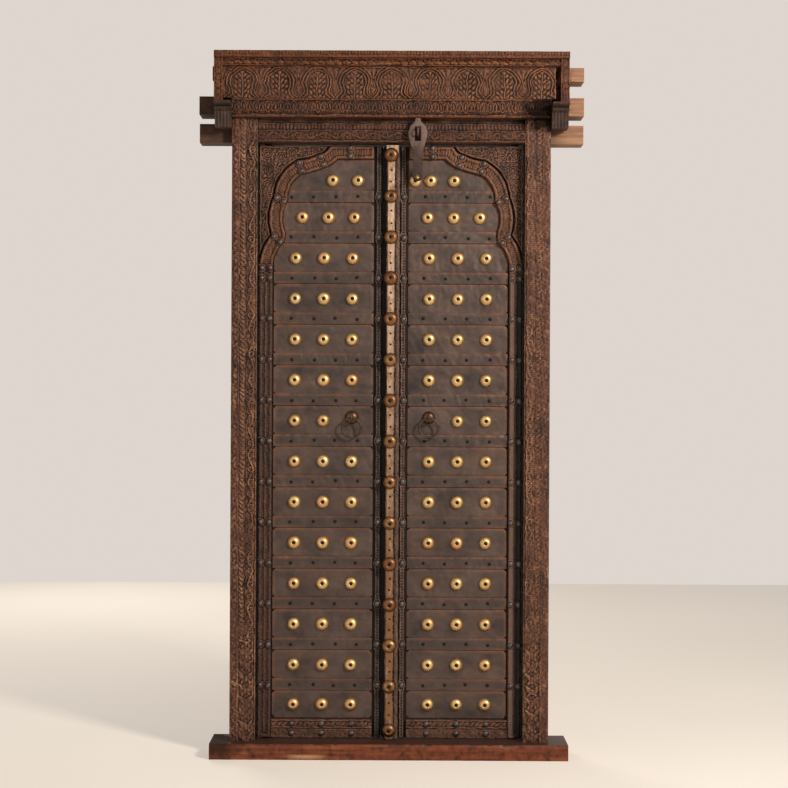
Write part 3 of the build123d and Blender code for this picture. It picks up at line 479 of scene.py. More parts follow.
beam_finish = timber_finish(
    "beam_finish", (6.0, 60.0, 60.0),
    (58, 40, 31), (76, 53, 41), (98, 68, 52), (30, 21, 17), (128, 90, 66), 0.62,
)
bare_fibres = beam_finish.between(beam_finish.cloud((9.0, 120.0, 120.0), 6.0), 0.3, 0.7)
bare_stain = beam_finish.between(beam_finish.cloud((22.0, 22.0, 30.0)), 0.55, 0.72)
bare_timber = beam_finish.blend(bare_fibres, (128, 90, 68), (178, 136, 104))
bare_timber = beam_finish.blend(bare_stain, bare_timber, (96, 66, 50))
beam_finish.coat(bare_timber, beam_finish.place("X"), *BEAM_FADE)
cad_finish(beam_finish, "lintel", "frieze_beam", "cornice_beam")

# Cornice crown: the top moulding, planed to a cove and cut with a row of small upright flutes over a
# plain rubbed fillet. It is nailed down along the top of the cornice beam.

CROWN_FLUTE = {"pitch": 0.0092, "foot": 0.0075}
CROWN_FILLET = 0.0015
CROWN_STEP = 0.0016


def crown_relief(x, z):
    """Upright flutes over a fillet, with the top arris knocked about."""
    up = z - limits("cornice_crown")[2][0]
    local = cell(x + 0.0008 * uneven(x, z * 0, 0.07, 21), CROWN_FLUTE["pitch"])[1]
    flutes = dome(local, 0.0042) * np.clip((up - CROWN_FLUTE["foot"]) / 0.002, 0, 1)
    fillet = np.where(up < CROWN_FLUTE["foot"], CROWN_FILLET, -0.0010)
    arris = np.clip((up - 0.0165) / 0.0035, 0, 1)
    return fillet + 0.0015 * flutes - arris * (0.002 + 0.001 * uneven(x, z * 0, 0.05, 22)) - 0.001


cornice_finish = timber_finish(
    "cornice_finish", (6.0, 70.0, 70.0),
    (66, 36, 22), (90, 52, 33), (126, 73, 44), (26, 15, 11), (166, 98, 55),
)
carved("fluted_crown", "cornice_crown", hand_worked(crown_relief), CROWN_STEP, cornice_finish)

# Cornice bead: a narrow batten under the crown, cut into overlapping scales with a drilled eye beside
# each. It is nailed on over the petal board, and a dark crack is left under it.

SCALE_PITCH = 0.0245
BEAD_CRACKS = [(-0.285, -0.235), (-0.062, 0.030), (0.448, 0.499)]


def bead_relief(x, z):
    """A row of tilted scales, each with an eye, over a thin lower fillet."""
    up = z - limits("cornice_bead")[2][0]
    local = cell(x + 0.0012 * uneven(x, z * 0, 0.11, 23), SCALE_PITCH)[1]
    tilted = local + 0.45 * (up - 0.010)
    scales = dome(np.hypot(tilted / 0.0115, (up - 0.0085) / 0.0068), 1.0)
    eye = dome(np.hypot(local - 0.0065, up - 0.0145), 0.0032)
    fillet = np.where((up < 0.0025) | (up > 0.0195), 0.0010, -0.0026)
    crack = 0
    for start, end in BEAD_CRACKS:
        crack = np.maximum(crack, dome(x - (start + end) / 2, (end - start) / 2))
    return fillet + 0.0042 * scales - 0.0040 * eye - 0.001 - 0.012 * crack * (up < 0.0032)


carved("scaled_bead", "cornice_bead", hand_worked(bead_relief), CROWN_STEP, cornice_finish)

# Petal board: the widest carved board, sunk between its borders. Round-headed petals, outlined twice,
# stand side by side with a leafy tree in each, a bud in the loop between two and a fan above the bud.
# It has shrunk away from its right border, and the gap is black.

PETAL_PITCH = 0.111
PETAL_GAP = 0.4865
PETAL_FACE = 0.083
PETAL_STEP = 0.0015
PETAL_OUTLINE = [
    (0.00, 0.0555), (0.06, 0.0500), (0.14, 0.0415), (0.24, 0.0380), (0.34, 0.0405), (0.46, 0.0450),
    (0.58, 0.0440), (0.70, 0.0400), (0.80, 0.0335), (0.88, 0.0250), (0.94, 0.0150), (0.97, 0.0),
]


def petal_edge_distance(local, up, rise):
    """How far each place lies outside the petal's outline, measured square to it."""
    heights, widths = np.array(PETAL_OUTLINE).T
    below, width, above = (np.interp(up / rise + shift, heights, widths) for shift in (-0.02, 0, 0.02))
    slope = (above - below) / (0.04 * rise)
    over_head = np.clip(up - 0.97 * rise, 0, None)
    return (np.abs(local) - width) / np.sqrt(1 + slope**2) + over_head


def petal_relief(x, z):
    """The outlines, the tree in each petal and the bud and fan between petals."""
    foot, top = limits("cornice_petal_board")[2]
    rise = top - foot
    up = z - foot
    shifted = x + 0.0015 * uneven(x, z, 0.16, 24)
    local = cell(shifted + PETAL_PITCH / 2, PETAL_PITCH)[1]
    outside = petal_edge_distance(local, up, rise)
    lines = np.maximum(dome(outside + 0.001, 0.0026), 0.85 * dome(outside + 0.0105, 0.0023))
    band = 0.35 * np.clip(1 - np.abs(outside + 0.006) / 0.006, 0, 1)
    tree = 0.55 * dome(local, 0.0022) * (up < 0.86 * rise) * (outside < -0.013)
    along = cell(up + 0.3 * np.abs(local), 0.0155)[1]
    for reach in (0.0085, 0.0195):
        tree = np.maximum(tree, leaf(np.abs(local) - reach, along, 0.0165, 0.0078, 0.95))
    tree = np.maximum(tree, dome(np.hypot(local, up - 0.80 * rise), 0.006))
    tree = tree * np.clip((-0.0135 - outside) / 0.002, 0, 1)
    between_x = PETAL_PITCH / 2 - np.abs(local)
    bud = dome(np.hypot(between_x / 0.0085, (up - 0.27 * rise) / 0.014), 1.0)
    bud = np.maximum(bud, leaf(up - 0.47 * rise, between_x, 0.022, 0.009, 0.0))
    fan_turn = np.arctan2(between_x, up - 0.56 * rise)
    fan = (0.6 + 0.4 * np.cos(fan_turn * 11)) * dome(up - 0.80 * rise, 0.017) * (outside > 0.004)
    loop = 0.8 * dome(outside - 0.0055, 0.0018) * (up < 0.62 * rise)
    raised = np.maximum.reduce([0.0072 * lines, 0.0072 * band, 0.0050 * tree])
    beside = 0.0050 * np.maximum.reduce([bud, 0.7 * fan, loop])
    raised = np.where(outside > 0.001, np.maximum(raised, beside), raised)
    rail = np.where(up > rise - 0.0035, 0.004, 0)
    height = np.maximum(raised, rail) - 0.0015 + 0.0004 * uneven(x, z, 0.03, 25)
    height = height * (0.85 + 0.22 * uneven(x, z, 0.22, 31))
    return np.where(x > PETAL_GAP, -0.028, height)


petal_finish = timber_finish(
    "petal_board_finish", (6.0, 70.0, 70.0),
    (70, 42, 28), (94, 58, 40), (126, 80, 54), (26, 16, 12), (166, 106, 68),
)
petal_work = hand_worked(petal_relief)
carved("carved_petal_board", "cornice_petal_board", petal_work, PETAL_STEP, petal_finish, face=PETAL_FACE)

# Cornice borders: the two upright ends of the cornice, each a strip carved with a chain of little
# flowers between two fillets, mitred under the crown.

FLOWER_PITCH = 0.0213
BORDER_DROP = 0.014
BORDER_STEP = 0.0013


def flower(across, along, radius, petals):
    """A round flower: a ring of petals about a boss."""
    distance = np.hypot(across, along)
    turn = np.arctan2(along, across)
    edge = radius * (0.72 + 0.28 * np.abs(np.cos(turn * petals / 2)))
    ring = np.clip(1 - (distance / edge) ** 4, 0, 1) * (0.55 + 0.45 * np.abs(np.cos(turn * petals / 2)))
    boss = dome(distance, 0.30 * radius)
    moat = np.exp(-(((distance - 0.36 * radius) / (0.1 * radius)) ** 2))
    return np.maximum(ring - 0.5 * moat, boss)


def border_relief(middle, x, z):
    """A chain of flowers down the strip, from the place of its middle."""
    across = x - middle
    local = cell(z + 0.0008 * uneven(x * 0, z, 0.06, 26), FLOWER_PITCH)[1]
    fillets = np.where(np.abs(across) > 0.0098, 0.0, -0.0028)
    arris = np.clip((np.abs(across) - 0.0110) / 0.0015, 0, 1)
    return fillets + 0.0030 * flower(across, local, 0.0092, 6) - 0.0015 * arris - 0.0005


for side in SIDES:
    node = f"{side}_cornice_border"
    relief = hand_worked(partial(border_relief, sum(limits(node)[0]) / 2))
    carved(f"{side}_flower_border", node, relief, BORDER_STEP, cornice_finish, drop=BORDER_DROP)

# Frieze board: carved with a row of upright ovals and leaf tufts, black with old smoke, over a lip
# that hands and dusters have rubbed back to orange wood. By the right bracket it is darkened thick with
# painted shadow and soot.

FRIEZE_PITCH = 0.0365
FRIEZE_FACE = 0.081
FRIEZE_STEP = 0.0015
# Painted shadow of the right bracket, with soot in it, on the jamb, frieze and architrave beside it.
SHADOW_AND_SOOT = (16, 12, 10)
JAMB_SHADOW_AND_SOOT = ((0.455, -0.064, 1.897), (0.072, 0.2, 0.036))
FRIEZE_SHADOW_AND_SOOT = ((0.452, -0.08, 1.922), (0.072, 0.2, 0.052))


def frieze_relief(x, z):
    """Ovals with a bud in each, upright leaves between them, a top fillet and the lip."""
    foot, top = limits("frieze_board")[2]
    rise = top - foot
    up = z - foot
    middle = 0.5 * (0.008 + rise - 0.006)
    local = cell(x + 0.0015 * uneven(x, z, 0.09, 27) + FRIEZE_PITCH / 2, FRIEZE_PITCH)[1]
    v = up - middle - 0.002
    oval = np.hypot(local / 0.0095, v / 0.0185)
    ring = np.clip(1 - np.abs(oval - 0.86) / 0.17, 0, 1) ** 0.6
    bud = leaf(v, local, 0.024, 0.0085, 0.0)
    aside = np.abs(local) - FRIEZE_PITCH / 2
    tuft = leaf(v + 0.002, aside, 0.034, 0.0075, 0.0)
    tuft = np.maximum(tuft, leaf(v - 0.008, aside + 0.0055, 0.017, 0.006, 0.45))
    tuft = np.maximum(tuft, 0.9 * dome(np.hypot(aside + 0.006, v + 0.011), 0.0042))
    carving = np.maximum.reduce([ring, 0.9 * bud, 0.85 * tuft])
    height = 0.0050 * carving - 0.0050
    height = np.where(up < 0.008, 0.0048 - 0.0012 * ((up - 0.004) / 0.004) ** 2, height)
    height = np.where(up > rise - 0.006, 0.0005, height)
    return height * (0.9 + 0.15 * uneven(x, z, 0.18, 32)) + 0.0006 * uneven(x, z, 0.03, 28)


# Painted shadow with soot on the jamb's head by the right bracket.
soot_and_shadow_patch(jamb_finish, *JAMB_SHADOW_AND_SOOT, SHADOW_AND_SOOT)
frieze_finish = timber_finish(
    "frieze_finish", (6.0, 70.0, 70.0),
    (55, 34, 24), (74, 45, 31), (102, 63, 41), (21, 14, 11), (150, 86, 48),
)
# Painted shadow with soot on the frieze by the right bracket.
soot_and_shadow_patch(frieze_finish, *FRIEZE_SHADOW_AND_SOOT, SHADOW_AND_SOOT)
frieze_work = hand_worked(frieze_relief)
carved("carved_frieze", "frieze_board", frieze_work, FRIEZE_STEP, frieze_finish, face=FRIEZE_FACE)

# Architrave: the carved head of the opening, in two steps. Over a running leaf scroll stands a row of
# small tongues, with a dark plain hollow above them where the frieze oversails.

TONGUE_PITCH = 0.0105
HEAD_SCROLL_PERIOD = 0.074
HEAD_STEP = 0.0016
HEAD_SHADOW_AND_SOOT = ((0.415, -0.06, 1.905), (0.06, 0.2, 0.038))


def architrave_relief(x, z):
    """The scroll, the tongues and the hollow, up the height of the board."""
    up = z - limits("architrave")[2][0]
    shifted = x + 0.001 * uneven(x, z, 0.08, 29)
    scroll_part = 0.0036 * scroll(shifted, up - 0.0195, 0.0135, HEAD_SCROLL_PERIOD) - 0.0036
    height = np.where((up > 0.0055) & (up < 0.0335), scroll_part, 0.0)
    local = cell(shifted, TONGUE_PITCH)[1]
    tongue = leaf(up - 0.0445, local, 0.0185, 0.0092, 0.0)
    row = np.where((up > 0.036) & (up < 0.0535), 0.0030 * tongue - 0.0095, -0.0065)
    height = np.where(up > 0.035, row, height)
    height = np.where(up > 0.0555, -0.0120, height)
    arris = np.clip(1 - up / 0.003, 0, 1) ** 2
    return height - 0.0022 * arris + 0.0004 * uneven(x, z, 0.04, 30)


head_finish = timber_finish(
    "architrave_finish", (6.0, 70.0, 70.0),
    (55, 34, 25), (75, 47, 34), (104, 65, 45), (21, 14, 11), (132, 83, 55),
)
# Painted shadow with soot on the architrave by the right bracket.
soot_and_shadow_patch(head_finish, *HEAD_SHADOW_AND_SOOT, SHADOW_AND_SOOT)
carved("carved_architrave", "architrave", hand_worked(architrave_relief), HEAD_STEP, head_finish)

# Brackets: a block under each end of the cornice, tenoned into the beam. Two rolls make its capital,
# and the block below is fluted and tapers to its foot. Both are black with smoke.

BRACKET_STATIONS = [
    (0.000, 0.044, 0.0232), (0.002, 0.045, 0.0247), (0.046, 0.052, 0.0248), (0.048, 0.056, 0.0246),
    (0.050, 0.060, 0.0246), (0.053, 0.064, 0.0249), (0.056, 0.066, 0.0250), (0.059, 0.064, 0.0248),
    (0.0605, 0.060, 0.0244), (0.062, 0.068, 0.0247), (0.065, 0.083, 0.0247), (0.068, 0.087, 0.0250),
    (0.072, 0.086, 0.0249), (0.074, 0.082, 0.0244),
]
BRACKET_FLUTES = 5
BRACKET_SIDE_FLUTES = 6
BRACKET_FLUTE_TOP = 0.0465


def bracket_points(middle, bottom, back):
    """The bracket's rings from foot to top: each goes round its front and sides, fluted below the rolls."""
    share = np.linspace(0, 1, 61)
    rings = []
    for up, out, half in BRACKET_STATIONS:
        run = 2 * out + 2 * half
        along = share * run
        x = np.where(along < out, -half, np.where(along > run - out, half, along - out - half))
        y = np.where(along < out, along, np.where(along > run - out, run - along, out))
        fluted = up < BRACKET_FLUTE_TOP
        front_wave = np.cos(np.pi * BRACKET_FLUTES * (x + half) / (2 * half))
        side_wave = np.cos(np.pi * BRACKET_SIDE_FLUTES * y / out)
        depth = 0.0026 * (1 - np.abs(front_wave)) * fluted
        side_depth = 0.0020 * (1 - np.abs(side_wave)) * fluted
        front = (along >= out) & (along <= run - out)
        y = np.where(front, y - depth, y)
        x = np.where(front, x, np.sign(x) * (np.abs(x) - side_depth))
        rings.append(np.stack([middle + x, -(back + y), np.full_like(x, bottom + up)], axis=-1))
    return rings


def lofted(levels, count, first=0):
    """Faces between rings of points that run the same way, and those that close the foot and the top."""
    index = first + np.arange(levels * count).reshape(levels, count)
    onward = np.roll(index, -1, axis=1)
    sides = np.stack([index[:-1], onward[:-1], onward[1:], index[1:]], axis=-1).reshape(-1, 4).tolist()
    return sides, index[0, ::-1].tolist(), index[-1].tolist()


bracket_finish = timber_finish(
    "bracket_finish", (60.0, 60.0, 8.0),
    (44, 33, 27), (60, 45, 37), (90, 66, 52), (18, 14, 12), (138, 98, 72),
)
for side in SIDES:
    bracket_x, bracket_forward, bracket_z = limits(f"{side}_bracket")
    rings = bracket_points(sum(bracket_x) / 2, bracket_z[0], bracket_forward[0])
    walls, foot, top = lofted(len(rings), len(rings[0]))
    faces = [*walls, foot, top]
    points = np.concatenate(rings).tolist()
    flat = [False] * len(faces)
    name = f"{side}_fluted_bracket"
    bracket = add_piece(name, points, faces, flat, bracket_finish, "frame")
    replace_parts(bracket, f"{side}_bracket")

# Leaf cores: upright boards between two stiles, ledged across the back and nailed. Their faces, where
# they show between the cladding, are dark with age and painted near-black with shade; the backs are dry brown
# timber.

leaf_board_finish = timber_finish(
    "leaf_board_finish", (75.0, 75.0, 5.0),
    (74, 52, 40), (96, 68, 52), (122, 88, 66), (34, 24, 19), (140, 102, 76), 0.6,
)
# Painted shade: the boards' front faces, seen only in the gaps between the raised cladding, coated
# near-black.
clad_gap_shade = leaf_board_finish.between(leaf_board_finish.cloud((60.0, 60.0, 9.0)), 0.35, 0.7)
clad_gap_shade = leaf_board_finish.blend(clad_gap_shade, (24, 18, 15), (44, 33, 28))
leaf_board_finish.coat(clad_gap_shade, leaf_board_finish.place("Y"), -0.004, -0.010)
for side in SIDES:
    for piece in ("pivot_stile", "meeting_stile", "boards", "ledges"):
        cad_finish(leaf_board_finish, f"{side}_{piece}")

# Arch bands: one cusped moulding on each leaf, sawn from board and nailed on, that runs straight down
# the hinge side below the arch. Two rubbed ribs follow its edges and swell round every iron stud; the
# hollow between them is notched across, and below the arch a thin raised line runs down the middle.

BAND_STEP = 0.0023
BAND_RIB = 0.0052
BAND_RIB_PLACE = 0.0050
BAND_LOBE = 0.0125
BAND_NOTCH_PITCH = 0.0062
BAND_STUDS = {"out": 0.06, "up": 0.11}
ARCH_SPRING = 1.456
BELOW_SPRING_FADE = (ARCH_SPRING + 0.03, ARCH_SPRING - 0.05)
BAND_FACE_DROP = -0.007


def solid_places(name):
    """The middle of each separate solid in a node, as X, forward distance of its foot, and Z."""
    mesh = nodes[name].data
    points = np.array([tuple(v.co) for v in mesh.vertices])
    keys = {}
    weld = [keys.setdefault(tuple(np.round(p, 5)), len(keys)) for p in points]
    leader = list(range(len(keys)))

    def lead(item):
        while leader[item] != item:
            leader[item] = leader[leader[item]]
            item = leader[item]
        return item

    for edge in mesh.edges:
        leader[lead(weld[edge.vertices[0]])] = lead(weld[edge.vertices[1]])
    groups = {}
    for index, item in enumerate(weld):
        groups.setdefault(lead(item), []).append(index)
    places = []
    for group in groups.values():
        low, high = points[group].min(axis=0), points[group].max(axis=0)
        places.append(((low[0] + high[0]) / 2, -high[1], (low[2] + high[2]) / 2))
    return sorted(places, key=lambda place: (round(place[2], 3), place[0]))


def rim_of(triangles):
    """The edges that only one triangle has, as the corner that follows each corner of the rim."""
    single = set()
    for triangle in triangles:
        for start, end in zip(triangle, [*triangle[1:], triangle[0]]):
            if (end, start) in single:
                single.remove((end, start))
            else:
                single.add((start, end))
    return dict(single)


def back_outlines(name):
    """The outline of each solid in a node where it lies against what carries it, as loops of X and Z."""
    mesh = nodes[name].data
    mesh.calc_loop_triangles()
    points = np.array([tuple(v.co) for v in mesh.vertices])
    back = points[:, 1].max()
    flat = []
    for triangle in mesh.loop_triangles:
        corners = points[list(triangle.vertices)]
        if np.abs(corners[:, 1] - back).max() < 1e-5:
            flat.append([tuple(np.round(corner[[0, 2]], 5)) for corner in corners])
    following = rim_of(flat)
    loops = []
    while following:
        start, place = following.popitem()
        loop = [start]
        while place != start:
            loop.append(place)
            place = following.pop(place)
        loops.append(np.array(loop))
    return loops


def within(loop, x, z):
    """Which places lie inside a loop."""
    result = np.zeros(x.shape, dtype=bool)
    for (x0, z0), (x1, z1) in zip(loop, np.roll(loop, -1, axis=0)):
        if z0 != z1:
            result ^= ((z0 > z) != (z1 > z)) & (x < x0 + (z - z0) * (x1 - x0) / (z1 - z0))
    return result


def from_edge(loop, x, z):
    """The distance of each place from a loop."""
    nearest = np.full(x.shape, 9.0)
    for start, end in zip(loop, np.roll(loop, -1, axis=0)):
        run = end - start
        share = np.clip(((x - start[0]) * run[0] + (z - start[1]) * run[1]) / (run @ run), 0, 1)
        away_x, away_z = x - start[0] - share * run[0], z - start[1] - share * run[1]
        nearest = np.minimum(nearest, np.hypot(away_x, away_z))
    return nearest


def along_edge(loop, step):
    """Points round a loop, no further apart than one step."""
    points = []
    for start, end in zip(loop, np.roll(loop, -1, axis=0)):
        count = max(1, math.ceil(np.hypot(*(end - start)) / step))
        points += [start + (end - start) * i / count for i in range(count)]
    return np.array(points)


def sawn_piece(name, node, cuts, step, finish, body, lift=0.0, extra=None):
    """A piece in the place of one solid, sawn to outlines with a relief each; extra paints more values."""
    back, face = limits(node)[1]
    points, faces, smooth, layers = [], [], [], {"prominence": []}
    for loop, relief in cuts:
        rim = along_edge(loop, step)
        low, high = rim.min(axis=0), rim.max(axis=0)
        x, z = np.meshgrid(np.arange(low[0], high[0], step), np.arange(low[1], high[1], step * 0.87))
        x[::2] += step / 2
        x, z = x.ravel(), z.ravel()
        kept = within(loop, x, z)
        x, z = x[kept], z[kept]
        kept = from_edge(loop, x, z) > 0.55 * step
        flat = [Vector(p) for p in np.concatenate([rim, np.stack([x[kept], z[kept]], axis=-1)])]
        links = [(i, (i + 1) % len(rim)) for i in range(len(rim))]
        spots, _, triangles = geometry.delaunay_2d_cdt(flat, links, [], 1, 1e-7)[:3]
        x, z = np.array([tuple(p) for p in spots]).T
        height, prominence = prominence_at(relief, x, z, PROMINENCE_REACH)
        first = len(points)
        rims = rim_of(triangles)
        points += np.stack([x, -(face + lift + height), z], axis=-1).tolist()
        faces += [[first + corner for corner in triangle] for triangle in triangles]
        smooth += [True] * len(triangles)
        near = {}
        for start in rims:
            near[start] = len(points)
            points += [list(points[first + start]), [x[start], -back, z[start]]]
        for start, end in rims.items():
            faces.append([near[end], near[start], near[start] + 1, near[end] + 1])
            smooth.append(False)
        values = {"prominence": prominence, **{layer: paint(x, z, loop) for layer, paint in (extra or {}).items()}}
        for layer, painted in values.items():
            layers.setdefault(layer, []).extend(painted.tolist() + [0.0] * (2 * len(rims)))
    paint = {layer: np.array(values) for layer, values in layers.items()}
    piece = add_piece(name, points, faces, smooth, finish, body, paint)
    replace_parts(piece, node)
    return piece


def band_relief(loop, studs, x, z):
    """Two ribs that follow the edges and swell round the studs, and the notched hollow between."""
    edge = from_edge(loop, x, z)
    ribs = dome(edge - BAND_RIB_PLACE, BAND_RIB) ** 0.7
    straight = np.clip((ARCH_SPRING - 0.02 - z) / 0.03, 0, 1)
    turn = np.arctan2(z - ARCH_SPRING, np.abs(x) - 0.1)
    run = np.where(z > ARCH_SPRING, ARCH_SPRING + 0.28 * turn, z) + 0.3 * edge * straight
    notches = dome(cell(run, BAND_NOTCH_PITCH)[1], 0.0026)
    hollow = 0.30 + 0.22 * notches
    rib_cut = 0.42 * (1 - notches) * straight
    middle = straight * 0.75 * np.clip((edge - 0.0165) / 0.0015, 0, 1)
    height = np.maximum.reduce([ribs - rib_cut, hollow, middle])
    for stud_x, _, stud_z in studs:
        away = np.hypot(x - stud_x, z - stud_z)
        seat = np.maximum(height, 1.0 - 0.25 * (away < 0.0085))
        height = np.where(away < BAND_LOBE, seat, height)
        moat = np.exp(-(((away - BAND_LOBE - 0.0012) / 0.0014) ** 2))
        height = height - 0.35 * moat * (edge > 0.003)
    return 0.0068 * height + 0.0004 * uneven(x, z, 0.05, 41)


band_finish = timber_finish(
    "arch_band_finish", (45.0, 45.0, 12.0),
    (72, 46, 34), (98, 64, 47), (132, 86, 62), (26, 18, 14), (164, 108, 74), 0.46,
)
band_up, band_across = band_finish.place("Z"), band_finish.place("X")
# Darker below the spring of the arch.
band_finish.coat((48, 40, 37), band_up, *BELOW_SPRING_FADE, 0.0, 0.58)
straight_part = band_finish.between(band_up, *BELOW_SPRING_FADE)
# Painted light on the right leaf's straight band: a painted highlight along its raised middle line, and
# painted shadow on either side of it.
lower_right_painted_light = band_finish.times(straight_part, band_finish.between(band_across, 0.0, 0.1))
line_sides = [band_finish.between(band_across, *edge) for edge in ((0.354, 0.360), (0.374, 0.368))]
lit_middle_line = band_finish.times(*line_sides)
for shown, share, colour in ((1.0, 0.5, (134, 104, 90)), (0.0, 0.8, (20, 16, 14))):
    part = band_finish.between(lit_middle_line, 0.4, shown, 0.0, share)
    band_finish.coat(colour, band_finish.times(lower_right_painted_light, part))
for side in SIDES:
    node = f"{side}_arch_band"
    studs = solid_places(f"{side}_iron_studs")
    studs = [p for p in studs if abs(p[0]) > BAND_STUDS["out"] and p[2] > BAND_STUDS["up"]]
    cuts = []
    for loop in back_outlines(node):
        cuts.append((loop, hand_worked(partial(band_relief, loop, studs), wander=0.0006, rubbed=0)))
    sawn_piece(f"{side}_cusped_band", node, cuts, BAND_STEP, band_finish, f"{side}_leaf", lift=BAND_FACE_DROP)

# Spandrels: the carved corner boards over the arch, let in flush beside it with a dark joint left all
# round. Stems coil over them into rosettes, with split leaves filling the corners.

SPANDREL_STEP = 0.0017
SPANDREL_COILS = [
    (0.371, 1.796, 0.0170), (0.334, 1.790, 0.0145), (0.296, 1.800, 0.0155), (0.259, 1.797, 0.0140),
    (0.226, 1.806, 0.0120), (0.196, 1.808, 0.0100), (0.362, 1.751, 0.0160), (0.326, 1.748, 0.0130),
    (0.292, 1.765, 0.0100), (0.374, 1.708, 0.0140), (0.345, 1.716, 0.0110), (0.368, 1.666, 0.0150),
    (0.374, 1.624, 0.0120), (0.372, 1.585, 0.0130), (0.379, 1.548, 0.0100),
]


def coil(across, up, radius, hand_way):
    """A stem wound in on itself round a small rosette, with leaves round the outside."""
    distance = np.hypot(across, up)
    turn = np.arctan2(up, across * hand_way)
    wind = (turn + math.pi) / (2 * math.pi)
    lap = radius * 0.34
    phase = (distance - lap * wind) / lap
    stem = np.clip(1 - np.abs(phase - np.round(phase)) / 0.24, 0, 1) ** 0.6 * (distance < radius)
    stem = stem * (distance > 0.30 * radius)
    rosette = flower(across, up, 0.34 * radius, 6)
    frill = np.clip(1 - np.abs(distance - 1.05 * radius) / (0.20 * radius), 0, 1)
    frill = frill * (0.5 + 0.5 * np.cos(turn * 9))
    return np.maximum.reduce([stem, rosette, 0.85 * frill])


def spandrel_relief(loop, x, z):
    """Coiled stems over a ground of small leaves, inside a thin border line."""
    edge = from_edge(loop, x, z)
    across = np.abs(x) + 0.0015 * uneven(x, z, 0.05, 42)
    column, local_x = cell(across + 0.4 * z, 0.0140)
    row, local_z = cell(z, 0.0125)
    tilt = np.where((column + row) % 2 == 0, 0.8, -0.8)
    ground = 0
    for way in (0.8, -0.8):
        tilted = np.where(tilt == way, leaf(local_x, local_z, 0.014, 0.0085, way), 0)
        ground = np.maximum(ground, tilted)
    height = 0.62 * ground
    for number, (coil_x, coil_z, radius) in enumerate(SPANDREL_COILS):
        away = np.hypot(across - coil_x, z - coil_z)
        wound = coil(across - coil_x, z - coil_z, radius, 1 if number % 2 else -1)
        height = np.where(away < 1.22 * radius, wound, height)
    border = dome(edge - 0.003, 0.0022)
    height = np.where(edge < 0.0055, 0.9 * border, height)
    return 0.0042 * height - 0.0042 + 0.0005 * uneven(x, z, 0.04, 43)


spandrel_finish = timber_finish(
    "spandrel_finish", (50.0, 50.0, 10.0),
    (66, 45, 35), (90, 61, 47), (122, 84, 64), (24, 17, 14), (170, 119, 89),
)
for side in SIDES:
    node = f"{side}_spandrel"
    cuts = [(loop, hand_worked(partial(spandrel_relief, loop), rubbed=0)) for loop in back_outlines(node)]
    sawn_piece(f"{side}_carved_spandrel", node, cuts, SPANDREL_STEP, spandrel_finish, f"{side}_leaf")

# Iron plates: sheets hammered flat and nailed over the boards, one between each two straps, their upper
# corners snipped. Handling has browned them, and rust shows red along the cut edges.

PLATE_STEP = 0.0055
PLATE_EDGE = 0.006
PLATE_SEED = 50


def sheet_iron_finish(name, dark, middle, light):
    """Thin old sheet: brown-grey skin in cloudy patches, red rust where it is painted, fine scratches."""
    finish = Finish(name, dark)
    patches = finish.cloud((9.0, 9.0, 12.0), 6.0, 0.65)
    bloom = finish.cloud((34.0, 34.0, 40.0), 5.0)
    specks = finish.cloud(330.0, 2.0)
    warm = finish.cloud((5.0, 5.0, 14.0), 5.0)
    finish.coat(light, patches, 0.34, 0.66)
    finish.coat(middle, bloom, 0.42, 0.72, 0.05, 0.6)
    finish.coat((104, 74, 58), warm, 0.52, 0.72, 0.0, 0.5)
    rusty = finish.times(finish.painted("rust"), finish.between(bloom, 0.32, 0.6, 0.15, 1.0))
    finish.coat((124, 80, 58), rusty)
    finish.coat((38, 28, 25), specks, 0.66, 0.76, 0.0, 0.65)
    finish.shine(bloom, 0.3, 0.7, 0.44, 0.62)
    finish.put(Metallic=0.35)
    finish.bump(specks, 0.0006, 0.5)
    return finish


def near_rim(x, z, loop):
    """Rust painted along the cut edge, most of it at the top and at the hinge end."""
    rim = np.clip(1.1 - from_edge(loop, x, z) / 0.009, 0, 1)
    low, high = loop.min(axis=0), loop.max(axis=0)
    upper = np.clip((z - low[1]) / (high[1] - low[1]), 0, 1)
    outer = np.clip((np.abs(x) - 0.25) / 0.08, 0, 1)
    return rim * np.clip(0.12 + 0.55 * upper**3 + 0.6 * outer, 0, 1)


def plate_relief(loop, seed, x, z):
    """Hammer dents, with the cut edge dressed down."""
    edge = np.where(within(loop, x, z), from_edge(loop, x, z), 9.0)
    rolled = np.clip(1 - edge / PLATE_EDGE, 0, 1) ** 2
    return 0.0005 * uneven(x, z, 0.055, seed) + 0.0003 * uneven(x, z, 0.02, seed + 1) - 0.0009 * rolled


plate_finish = sheet_iron_finish("iron_plate_finish", (46, 37, 34), (71, 56, 49), (98, 78, 68))
for side in SIDES:
    node = f"{side}_iron_plates"
    cuts = []
    for number, loop in enumerate(back_outlines(node)):
        cuts.append((loop, partial(plate_relief, loop, PLATE_SEED + number)))
    sawn_piece(
        f"{side}_hammered_plates", node, cuts, PLATE_STEP, plate_finish, f"{side}_leaf",
        extra={"rust": near_rim},
    )

# Iron straps: flat bars laid across the seams of the plates and nailed through, with a dark open joint
# left under each. The small nails are sunk and black.

STRAP_NAILS = [0.100, 0.164, 0.230, 0.297]
STRAP_NAIL_RADIUS = 0.0052
STRAP_LAP = 0.0035
STRAP_STEP = 0.004
STRAP_SEED = 90
STRAP_NAIL_HEAD = [(STRAP_NAIL_RADIUS, 0.0), (0.0050, 0.0018), (0.0034, 0.0028), (0.0012, 0.0033)]


